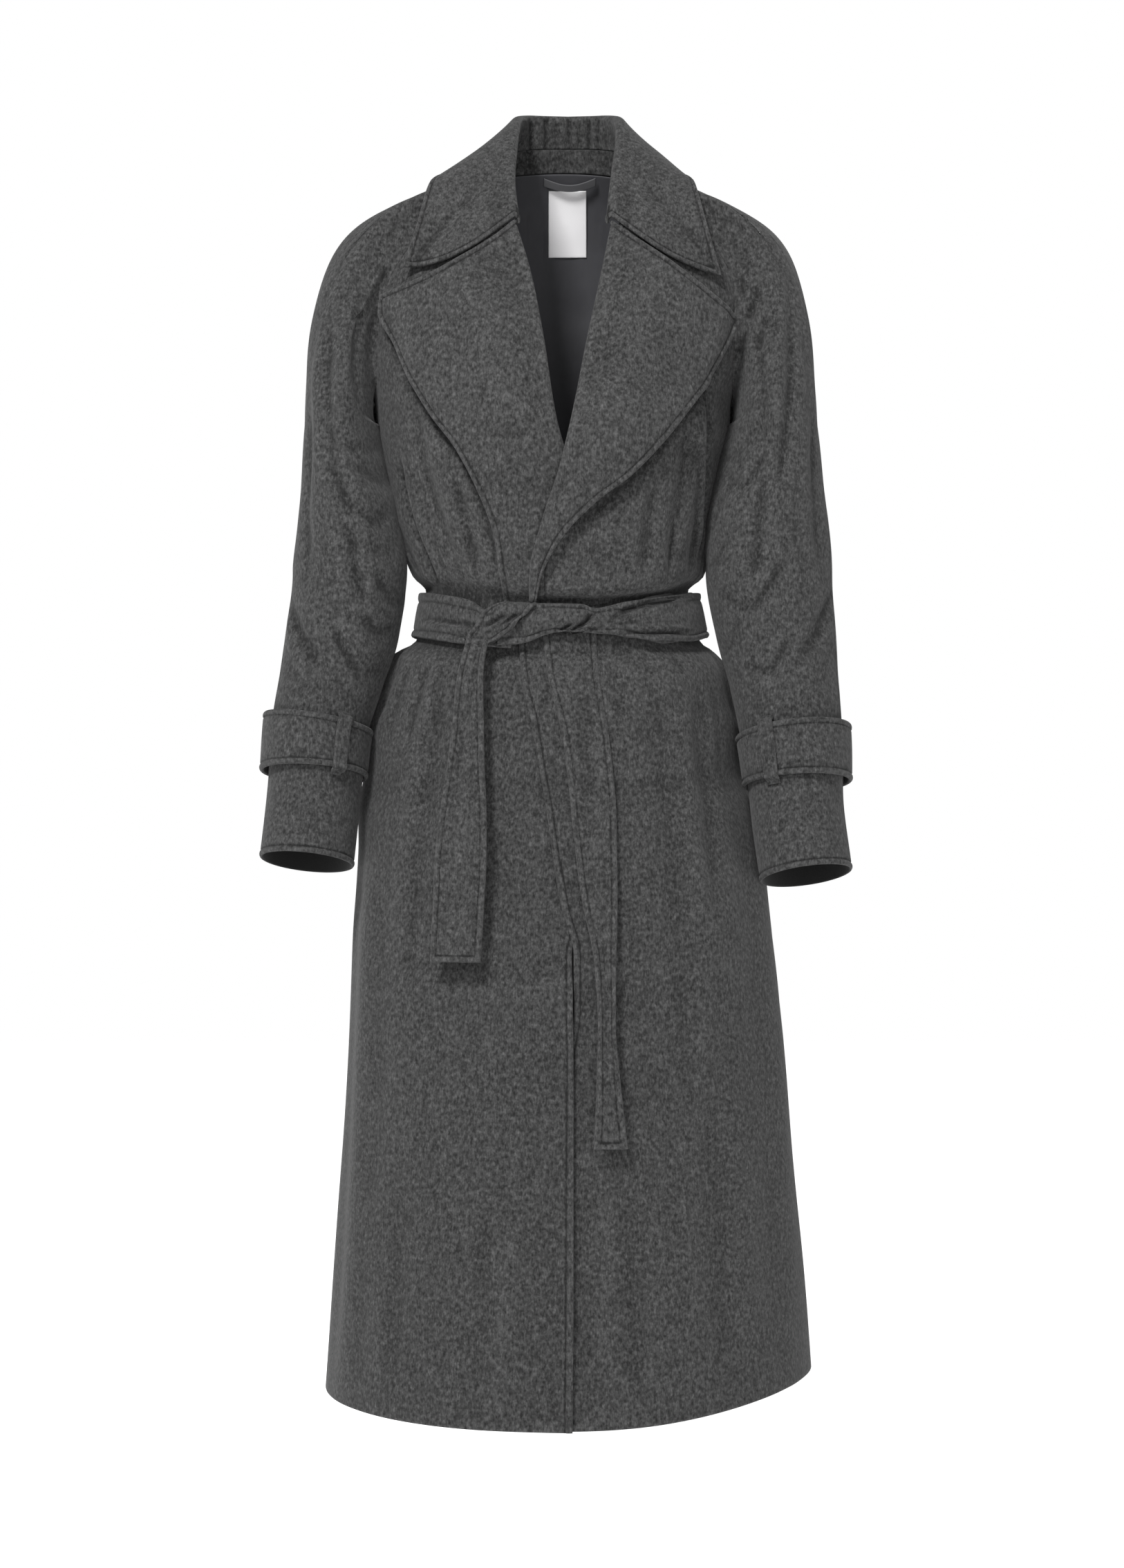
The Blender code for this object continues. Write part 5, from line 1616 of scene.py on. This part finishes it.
# %% Knot
# turn, height of the lower edge, height of the upper edge, extra stand-off: the
# stretch from the wearer's left side that twists and comes over the band
KNOT = Track((
    (-20.0, -48.7, -45.0, 0.20),
    (-13.1, -48.5, -44.1, 0.35),
    (-7.9, -48.1, -43.95, 0.55),
    (-3.1, -47.45, -43.95, 0.80),
    (1.2, -47.1, -44.05, 0.90),
    (7.4, -47.15, -44.15, 0.80),
    (12.1, -47.3, -44.60, 0.72),
    (18.3, -47.4, -44.35, 0.60),
    (24.5, -47.6, -43.85, 0.45),
    (37.1, -48.1, -43.1, 0.25),
    (51.4, -48.1, -42.65, 0.12),
    (76.7, -47.5, -42.22, 0.06),
    (98.0, -47.25, -42.25, 0.05),
))
# the creases of the twist, then the turned-over upper edge and the lower one
KNOT_FOLDS = front_folds(
    ([(-0.3, -46.9), (0.3, -46.5), (1.1, -45.9)], 0.55, 0.24, 0.7),
    ([(0.7, -46.9), (1.3, -46.45), (2.2, -45.8)], 0.60, 0.24, 0.7),
    ([(1.4, -46.9), (2.1, -46.0), (3.0, -45.0)], 0.66, 0.26, 0.8),
    ([(3.4, -46.5), (5.1, -45.2), (7.3, -44.3), (9.6, -43.7), (12.8, -43.0)], 0.42, 0.30, 0.7),
    ([(4.2, -47.1), (6.4, -47.2), (9.6, -47.1), (12.5, -46.8)], 0.24, 0.28, -0.5),
    ([(-2.6, -45.2), (-1.2, -45.0), (0.6, -44.9)], 0.10, 0.35, 0.4),
)
KNOT_GAP = 0.10


def knot_form(u, v):
    turn = mix(KNOT.key[0], KNOT.key[-1], u)
    low, high, stand = KNOT.at(turn)
    lift = belt_lift(turn) + BELT_THICK + KNOT_GAP + stand * np.sin(np.pi * v) + BELT_THICK
    return on_body(turn, mix(low, high, v), lift, KNOT_FOLDS, 14, 6.0, 0.08)


shell("belt_knot", 220, 34, knot_form, 1, BELT_THICK, STRIP_RIMS)

# %% [markdown]
# The tails hang down the front, each between two edges given as x. They stand
# off further where they leave the knot, and the long one again towards its end.

# %% Tails
# height, x of the wearer's right edge, x of the left edge, stand-off
TAIL_SHORT = Track((
    (-78.4, -11.60, -7.20, 2.0),
    (-74.0, -11.40, -6.95, 2.05),
    (-67.1, -10.95, -6.65, 2.15),
    (-57.8, -9.80, -6.90, 2.2),
    (-51.8, -9.20, -6.95, 2.2),
    (-49.5, -8.65, -6.70, 2.15),
    (-47.9, -8.35, -5.45, 1.95),
    (-46.6, -7.60, -4.20, 2.05),
    (-45.6, -7.20, -3.50, 2.05),
    (-45.1, -6.90, -3.00, 2.00),
    (-44.6, -6.30, -2.65, 1.90),
    (-44.1, -5.40, -2.35, 1.55),
    (-43.7, -4.60, -2.10, 0.80),
))
TAIL_LONG = Track((
    (-95.7, 2.90, 5.95, 1.6),
    (-88.3, 3.20, 5.20, 1.5),
    (-84.5, 3.30, 4.90, 1.4),
    (-78.6, 3.00, 4.95, 1.2),
    (-72.3, 1.80, 5.10, 1.0),
    (-64.9, 0.90, 5.00, 0.75),
    (-57.5, 0.10, 4.45, 0.48),
    (-50.3, -1.50, 3.40, 0.24),
    (-46.2, -1.90, 3.20, 0.15),
))


SHORT_FOLDS = front_folds(
    ([(-6.6, -46.6), (-5.6, -45.8), (-4.6, -45.2)], 0.46, 0.24, 0.8),
    ([(-5.4, -46.4), (-4.5, -45.7), (-3.5, -45.1)], 0.50, 0.24, 0.8),
    ([(-7.0, -47.6), (-7.8, -52.0), (-8.5, -59.0)], 0.16, 0.35, 0.6),
    ([(-8.0, -49.0), (-8.6, -55.0), (-9.4, -64.0)], 0.12, 0.35, -0.5),
)
LONG_FOLDS = front_folds(
    ([(1.4, -50.5), (2.1, -58.0), (2.9, -68.0)], 0.12, 0.6, 0.4),
    ([(3.3, -74.0), (3.9, -82.0), (4.1, -90.0)], 0.12, 0.5, -0.5),
)


def tail_form(track, folds):
    def form(u, v):
        height = mix(track.key[0], track.key[-1], v)
        left, right, stand = track.at(height)
        turn = front_turn(mix(left, right, u), height)
        return on_body(turn, height, stand + BELT_THICK, folds, 6, 8.0, 0.08)

    return form


tail_rims = ("edge", "edge", "edge", "seam")
for word, track, folds in (("short", TAIL_SHORT, SHORT_FOLDS), ("long", TAIL_LONG, LONG_FOLDS)):
    shell(f"belt_tail_{word}", 14, 150, tail_form(track, folds), 1, BELT_THICK, tail_rims)

# %% [markdown]
# ## Cuff straps
# A strap runs round each wrist through a keeper. It stands off the sleeve on
# the outside of the arm, where it is loose, and lies closer on the inside.

# %% Cuff straps
STRAP_TOP = 55.3
STRAP_LOWER = {1: 0.9, -1: 0.0}  # how much lower each strap lies
STRAP_HEIGHT = 5.2
STRAP_THICK = 0.38
STRAP_OPEN = 197.0  # angle at which the strap's ends meet, against the body
STRAP_ROUND, STRAP_GAP = 359.4, 0.3  # how far round it reaches, and its gap
STRAP_PLAY = 0.08  # how far it stands off where it lies closest
STRAP_LOOSE = 0.42  # and how much further where it is loose
LOOP_ANGLE = 119.0
LOOP_HALF = 7.5  # half of the keeper's width, as an angle
LOOP_THICK = 0.3
LOOP_GAP = 0.10  # between the keeper and the strap under it
LOOP_BEND = (0.02, 0.09)  # shares of its length over which it bends at its ends
LOOP_OVER = 0.14  # share of the strap's height by which the keeper passes it


def on_arm(arm, angle, drop, lift):
    travel = 1.0 + (drop - arm.top) / (arm.end - arm.top)
    return arm.arm_point(angle, drop) + arm.normal(angle, travel) * col(lift)


def strap_stand(angle):
    """The strap lies close on the inside of the arm and stands off outside."""
    return STRAP_PLAY + STRAP_LOOSE * np.maximum(0.0, np.cos(np.radians(angle * 0.5))) ** 2


def strap_drop(arm, v):
    return STRAP_TOP + STRAP_LOWER[arm.side] + STRAP_HEIGHT * (1.0 - v)


def strap_form(arm):
    def form(u, v):
        angle = STRAP_OPEN - STRAP_ROUND * u - STRAP_GAP
        return on_arm(arm, angle, strap_drop(arm, v), strap_stand(angle) + STRAP_THICK)

    return form


def keeper_form(arm):
    def form(u, v):
        angle = LOOP_ANGLE + LOOP_HALF * (1.0 - 2.0 * u)
        over = strap_stand(LOOP_ANGLE) + STRAP_THICK + LOOP_GAP
        drop = mix(strap_drop(arm, -LOOP_OVER), strap_drop(arm, 1.0 + LOOP_OVER), v)
        lift = mix(STRAP_PLAY, over, ease(np.minimum(v, 1.0 - v), *LOOP_BEND))
        return on_arm(arm, angle, drop, lift + LOOP_THICK)

    return form


for side, word in SIDES.items():
    arm = ARMS[side]
    shell(f"cuff_strap_{word}", 150, 18, strap_form(arm), side, STRAP_THICK, STRIP_RIMS)
    shell(f"cuff_loop_{word}", 10, 60, keeper_form(arm), side, LOOP_THICK, SEAMS)

# %% [markdown]
# ## Inside the neck
# The upper back is lined with dark satin, eased in at the neck with small
# pleats. A hanging loop of the same satin is caught in the neck seam, and a
# plain woven label is sewn under it.

# %% Lining
LINING_SKIP = 3 / 14  # share of the back left bare at each side
NECK_SKIP = 0.045  # and at the neck
LINING_LOW = 0.61  # its lower end, over the waist, as a share of the back's rows
LINING_GAP = 0.09
# x of each pleat and how far it leans, its depth, width and lip
PLEATS = (
    (-3.4, -0.3, 0.20, 0.30, 0.5),
    (-1.6, -0.1, 0.26, 0.35, -0.5),
    (0.2, 0.1, 0.20, 0.40, 0.5),
    (1.9, 0.2, 0.28, 0.35, 0.5),
    (3.8, 0.4, 0.20, 0.30, -0.5),
)


def pleat(x, lean, depth, width, lip):
    line = [(x, 9.0, -1.0), (x + lean, 10.5, -14.0), (x + 1.6 * lean, 11.5, -30.0)]
    return Fold(np.array(line), depth, width, lip)


LINING_FOLDS = [pleat(*row) for row in PLEATS]


def lining_form(u, v):
    """The lining keeps the form of the back, just inside it."""
    skip = mix(LINING_SKIP, NECK_SKIP, ease(v, 0.7, 1.0))
    place = back_form(mix(skip, 1.0 - skip, u), mix(LINING_LOW, 1.0, v))
    inwards = unit(place * (1.0, 1.0, 0.0)) * -1.0
    relief = all_relief(LINING_FOLDS, place, inwards) * ease(v, 0.0, 0.1)
    return place + inwards * col(CLOTH + LINING_GAP + LINING + relief)


shell("back_lining", 110, 150, lining_form, -1, LINING, SEAMS, slot="lining")

# %% [markdown]
# The loop hangs between its two ends, and the label is a flat rectangle. Both
# are strips on the inside of the back.

# %% Loop and label
HANGER_HALF, HANGER_X, HANGER_SAG = 2.8, 0.84, 0.75
HANGER_DROP, HANGER_WIDE = 0.15, 0.6  # its place under the neck seam, its width
HANGER_THICK, LABEL_THICK = 0.15, 0.1
LABEL_X, LABEL_WIDTH, LABEL_TOP, LABEL_BOTTOM = 0.57, 3.95, -0.7, -7.2
LINED = CLOTH + 0.05 + LINING  # depth of the lining's face under the body form


def inside_back(x, height, depth):
    turn = back_turn(x, height)
    return body_point(turn, height) - body_normal(turn, height) * col(depth)


def hanger_form(u, v):
    x = HANGER_X + HANGER_HALF * (1.0 - 2.0 * u)
    sag = HANGER_SAG * np.sin(np.pi * u)
    height = BACK_NECK - HANGER_DROP - HANGER_WIDE * (1.0 - v) - 0.45 * sag
    return inside_back(x, height, LINED + 0.38 + 0.6 * sag)


def label_form(u, v):
    x = LABEL_X + LABEL_WIDTH * (0.5 - u)
    bow = 0.05 * np.sin(np.pi * u)
    return inside_back(x, mix(LABEL_BOTTOM, LABEL_TOP, v), LINED + 0.26 + bow)


shell("hanger_loop", 40, 8, hanger_form, -1, HANGER_THICK, SEAMS, slot="lining")
shell("neck_label", 24, 36, label_form, -1, LABEL_THICK, SEAMS, slot="label")

# %% [markdown]
# ## Node tools
# The materials are node trees, made without any picture, so they fit a piece of
# any shape. A few helpers keep each tree as short as a formula: one fills the
# inputs of a node by name, one adds a node, and one adds a sum.

# %% Node tools


def fill(tree, node, **sockets):
    """Sets inputs by name, each to a value or to an output to link from. An
    underscore stands for a space, and i0 or i1 for an input by its place."""
    for word, value in sockets.items():
        key = int(word[1:]) if word[1:].isdigit() else word.replace("_", " ")
        if isinstance(value, bpy.types.NodeSocket):
            tree.links.new(value, node.inputs[key])
        else:
            node.inputs[key].default_value = value
    return node


def add(tree, kind, settings=None, **sockets):
    """Adds a node with its own settings, and fills its inputs."""
    node = tree.nodes.new(kind)
    for word, value in (settings or {}).items():
        setattr(node, word, value)
    return fill(tree, node, **sockets)


def calc(tree, operation, *values):
    sockets = {f"i{i}": value for i, value in enumerate(values)}
    return add(tree, "ShaderNodeMath", {"operation": operation}, **sockets).outputs[0]


def noise(tree, place, scale, detail):
    return add(tree, "ShaderNodeTexNoise", Vector=place, Scale=scale, Detail=detail).outputs[0]


def new_group(name, inputs, outputs):
    """A shader node group of plain values: the group, its given inputs and the
    node that takes its results."""
    group = bpy.data.node_groups.new(name, "ShaderNodeTree")
    for word, kind, value in inputs:
        socket = group.interface.new_socket(word, in_out="INPUT", socket_type=kind)
        if value is not None:
            socket.default_value = value
    for word in outputs:
        group.interface.new_socket(word, in_out="OUTPUT", socket_type="NodeSocketFloat")
    given = group.nodes.new("NodeGroupInput").outputs
    return group, given, group.nodes.new("NodeGroupOutput")


FLOAT, VECTOR = "NodeSocketFloat", "NodeSocketVector"
print("helpers:", ", ".join(f.__name__ for f in (fill, add, calc, noise, new_group)))

# %% [markdown]
# ## Fibre group
# The coat is a melange wool: light and dark fibres are mixed before spinning,
# so the cloth is mottled in patches of a few millimetres, and its brushed
# surface lies downwards. The group makes that as plain values, a tone and a
# height, so that any cloth here can use it with its own colours.

# %% Fibre group
fibre, given, result = new_group(
    "Fibre mix",
    [("Place", VECTOR, None), ("Patch size", FLOAT, 0.003), ("Nap", FLOAT, 0.35)],
    ["Tone", "Height"],
)
scale = calc(fibre, "DIVIDE", 1.0, given["Patch size"])
lying = add(fibre, "ShaderNodeCombineXYZ", X=1.0, Y=1.0, Z=given["Nap"]).outputs[0]
brush = {"operation": "MULTIPLY"}
brushed = add(fibre, "ShaderNodeVectorMath", brush, i0=given["Place"], i1=lying).outputs[0]
STREAKS_FINER, FUZZ_FINER = 2.4, 4.5  # how much finer they are than the patches
patches = noise(fibre, given["Place"], scale, 2.0)
streaks = noise(fibre, brushed, calc(fibre, "MULTIPLY", scale, STREAKS_FINER), 3.0)
fuzz = noise(fibre, brushed, calc(fibre, "MULTIPLY", scale, FUZZ_FINER), 2.0)
tone = calc(fibre, "MULTIPLY_ADD", patches, 1.25, -0.625)
for pattern, share in ((streaks, 1.2), (fuzz, 0.45)):
    tone = calc(fibre, "ADD", tone, calc(fibre, "MULTIPLY_ADD", pattern, share, -0.5 * share))
height = calc(fibre, "ADD", calc(fibre, "MULTIPLY", patches, 0.5), fuzz)
fill(fibre, result, Tone=tone, Height=height)
print("nodes in the fibre group:", len(fibre.nodes))

# %% [markdown]
# ## Thread group
# A woven face is rows of threads. The group turns a place into the height of a
# slanted line of threads, which the satin and the label both use.

# %% Thread group
FULL_TURN = 6.2832
threads, given, result = new_group(
    "Twill lines",
    [("Place", VECTOR, None), ("Spacing", FLOAT, 0.0008), ("Slant", FLOAT, 0.5)],
    ["Height"],
)
axes = add(threads, "ShaderNodeSeparateXYZ", Vector=given["Place"]).outputs
across = calc(threads, "ADD", axes["X"], axes["Y"])
slanted = calc(threads, "MULTIPLY_ADD", axes["Z"], given["Slant"], across)
phase = calc(threads, "DIVIDE", slanted, given["Spacing"])
wave = calc(threads, "SINE", calc(threads, "MULTIPLY", phase, FULL_TURN))
fill(threads, result, Height=calc(threads, "MULTIPLY_ADD", wave, 0.5, 0.5))
print("groups:", [group.name for group in bpy.data.node_groups])

# %% [markdown]
# ## Materials
# Wool scatters light from loose fibres, so it is rough and has a soft sheen at
# grazing angles. The shell tool left point attributes on each piece, and they
# paint light into the colour: painted shade on the inside and in the stitch
# groove and the folds, and a touch of painted highlight on the rims and ridges.

# %% Wool


def new_material(name):
    material = bpy.data.materials.new(name)
    material.use_nodes = True
    tree = material.node_tree
    place = tree.nodes.new("ShaderNodeTexCoord").outputs["Object"]
    return material, tree, tree.nodes["Principled BSDF"], place


def attribute(tree, name):
    return add(tree, "ShaderNodeAttribute", {"attribute_name": name}).outputs["Fac"]


def mixed(tree, share, first, second):
    settings = {"data_type": "RGBA"}
    return add(tree, "ShaderNodeMix", settings, i0=share, i6=first, i7=second).outputs[2]


def bumped(tree, height, strength, distance):
    node = add(tree, "ShaderNodeBump", Strength=strength, Distance=distance, Height=height)
    return node.outputs[0]


def tint(red, green, blue):
    return (red, green, blue, 1.0)


WOOL_DARK = tint(0.0080, 0.0080, 0.0080)
WOOL_LIGHT = tint(0.083, 0.083, 0.083)
# the inner faces are painted near black, as painted shade inside the coat
WOOL_INSIDE_SHADE = tint(0.010, 0.010, 0.010)
wool, tree, shader, place = new_material("coat_wool")
fibres = {"node_tree": fibre}
melange = add(tree, "ShaderNodeGroup", fibres, Place=place, Patch_size=0.0039, Nap=0.40).outputs
tone = calc(tree, "MULTIPLY_ADD", melange["Tone"], 0.90, 0.42)
# painted shade in the stitch groove and in the folds, and a painted highlight on the rims and on
# the ridges, where the fold measure is below 0
for mark, share in (("painted_stitch_shade", -0.30), ("rim", 0.05), ("hollow", -0.22)):
    tone = calc(tree, "MULTIPLY_ADD", attribute(tree, mark), share, tone)
tone = calc(tree, "MINIMUM", calc(tree, "MAXIMUM", tone, 0.0), 1.0)
tone = calc(tree, "POWER", tone, 1.5)
colour = mixed(tree, tone, WOOL_DARK, WOOL_LIGHT)
# painted shade on the inner layer
colour = mixed(tree, attribute(tree, "inside"), colour, WOOL_INSIDE_SHADE)
normal = bumped(tree, melange["Height"], 0.35, 0.0006)
fill(tree, shader, Base_Color=colour, Normal=normal, Roughness=0.95)
fill(tree, shader, Specular_IOR_Level=0.15, Sheen_Weight=0.07, Sheen_Roughness=0.6)
print("nodes in the wool:", len(tree.nodes))

# %% [markdown]
# The lining and the hanging loop are the same satin in two tones, and the label
# is woven of two close whites. Which piece wears what follows from its slot.

# %% Satin, label and looks


def satin(name, dark, light):
    """A smooth satin, mottled between two close tones, with fine twill lines."""
    material, tree, shader, place = new_material(name)
    shade = add(tree, "ShaderNodeGroup", fibres, Place=place, Patch_size=0.012, Nap=0.3)
    tone = calc(tree, "MULTIPLY_ADD", shade.outputs["Tone"], 0.3, 0.5)
    lines = add(tree, "ShaderNodeGroup", twill, Place=place, Spacing=0.0007, Slant=0.6)
    normal = bumped(tree, lines.outputs["Height"], 0.12, 0.0001)
    fill(tree, shader, Base_Color=mixed(tree, tone, dark, light), Normal=normal)
    fill(tree, shader, Roughness=0.65, Specular_IOR_Level=0.3, Sheen_Weight=0.05)
    return material


twill = {"node_tree": threads}
lining = satin("coat_lining", tint(0.034, 0.034, 0.037), tint(0.050, 0.050, 0.056))
loop = satin("coat_loop", tint(0.058, 0.058, 0.062), tint(0.074, 0.074, 0.078))
label, tree, shader, place = new_material("coat_label")
lines = add(tree, "ShaderNodeGroup", twill, Place=place, Spacing=0.0009, Slant=1.0)
height = lines.outputs["Height"]
colour = mixed(tree, height, tint(0.78, 0.77, 0.78), tint(0.86, 0.85, 0.86))
fill(tree, shader, Base_Color=colour, Normal=bumped(tree, height, 0.3, 0.0002), Roughness=0.7)

LOOKS = {"wool": wool, "lining": lining, "label": label}
for name, obj in PIECES.items():
    look = loop if name == "coat_hanger_loop" else LOOKS[SLOT_OF[name]]
    obj.data.materials.append(look)
print("pieces with a material:", len(PIECES))

# %% [markdown]

# %% [markdown]
# ## Stage, light and camera
# A plain pale floor lies under the coat, which hangs as it would on its wearer.
# The floor glows a little, as white paper does under studio lamps, so that it
# runs into the surround without a visible line.

# %% Floor
FLOOR_HEIGHT = -1.45
bpy.ops.mesh.primitive_plane_add(size=14.0, location=(0.0, 0.0, FLOOR_HEIGHT))
floor = bpy.context.object
floor.name = "floor"
paper, tree, shader, _ = new_material("floor_paper")
fill(tree, shader, Base_Color=tint(0.92, 0.92, 0.92), Roughness=0.9)
fill(tree, shader, Emission_Color=tint(1.0, 1.0, 1.0), Emission_Strength=0.85)
floor.data.materials.append(paper)
print("floor at", FLOOR_HEIGHT, "m")

# %% [markdown]
# The lamps are area lights aimed at the chest. The key lamp stands high, a
# little to the left, and draws the edges; the fill lamp and the surround soften
# its shadows. The smaller a lamp is, the sharper its shadows get.

# %% Light


def lamp(name, place, aim, size, power):
    light = bpy.data.lights.new(name, "AREA")
    light.size = size
    light.energy = power
    obj = bpy.data.objects.new(name, light)
    obj.location = place
    obj.rotation_euler = (Vector(aim) - Vector(place)).to_track_quat("-Z", "Y").to_euler()
    bpy.context.scene.collection.objects.link(obj)


CHEST = (0.0, 0.0, -0.5)
SURROUND = 0.28  # strength of the surround as light; where it is seen it is white
lamp("key_light", (-1.1, -2.8, 2.3), CHEST, 0.7, 194.0)
lamp("fill_light", (0.5, -3.2, 0.0), CHEST, 1.2, 30.0)

world = bpy.data.worlds.new("studio")
bpy.context.scene.world = world
world.use_nodes = True
tree = world.node_tree
seen = add(tree, "ShaderNodeLightPath").outputs["Is Camera Ray"]
strength = calc(tree, "MULTIPLY_ADD", seen, 1.0 - SURROUND, SURROUND)
fill(tree, tree.nodes["Background"], Color=tint(1.0, 1.0, 1.0), Strength=strength)
bpy.context.scene.view_settings.view_transform = "Standard"
print("lamps:", [light.name for light in bpy.data.lights])

# %% [markdown]
# The camera stands level, straight in front of the middle of the coat, about
# three metres away.

# %% Camera
CAMERA_PLACE = (0.0, -3.10, -0.614)
LENS = 71.59  # mm, over a sensor 36 mm high
camera_data = bpy.data.cameras.new("camera")
camera_data.sensor_fit = "VERTICAL"
camera_data.sensor_height = 36.0
camera_data.lens = LENS
camera = bpy.data.objects.new("camera", camera_data)
camera.location = CAMERA_PLACE
camera.rotation_euler = (np.pi / 2, 0.0, 0.0)
bpy.context.scene.collection.objects.link(camera)
bpy.context.scene.camera = camera
print("camera at", CAMERA_PLACE, "with a lens of", LENS, "mm")
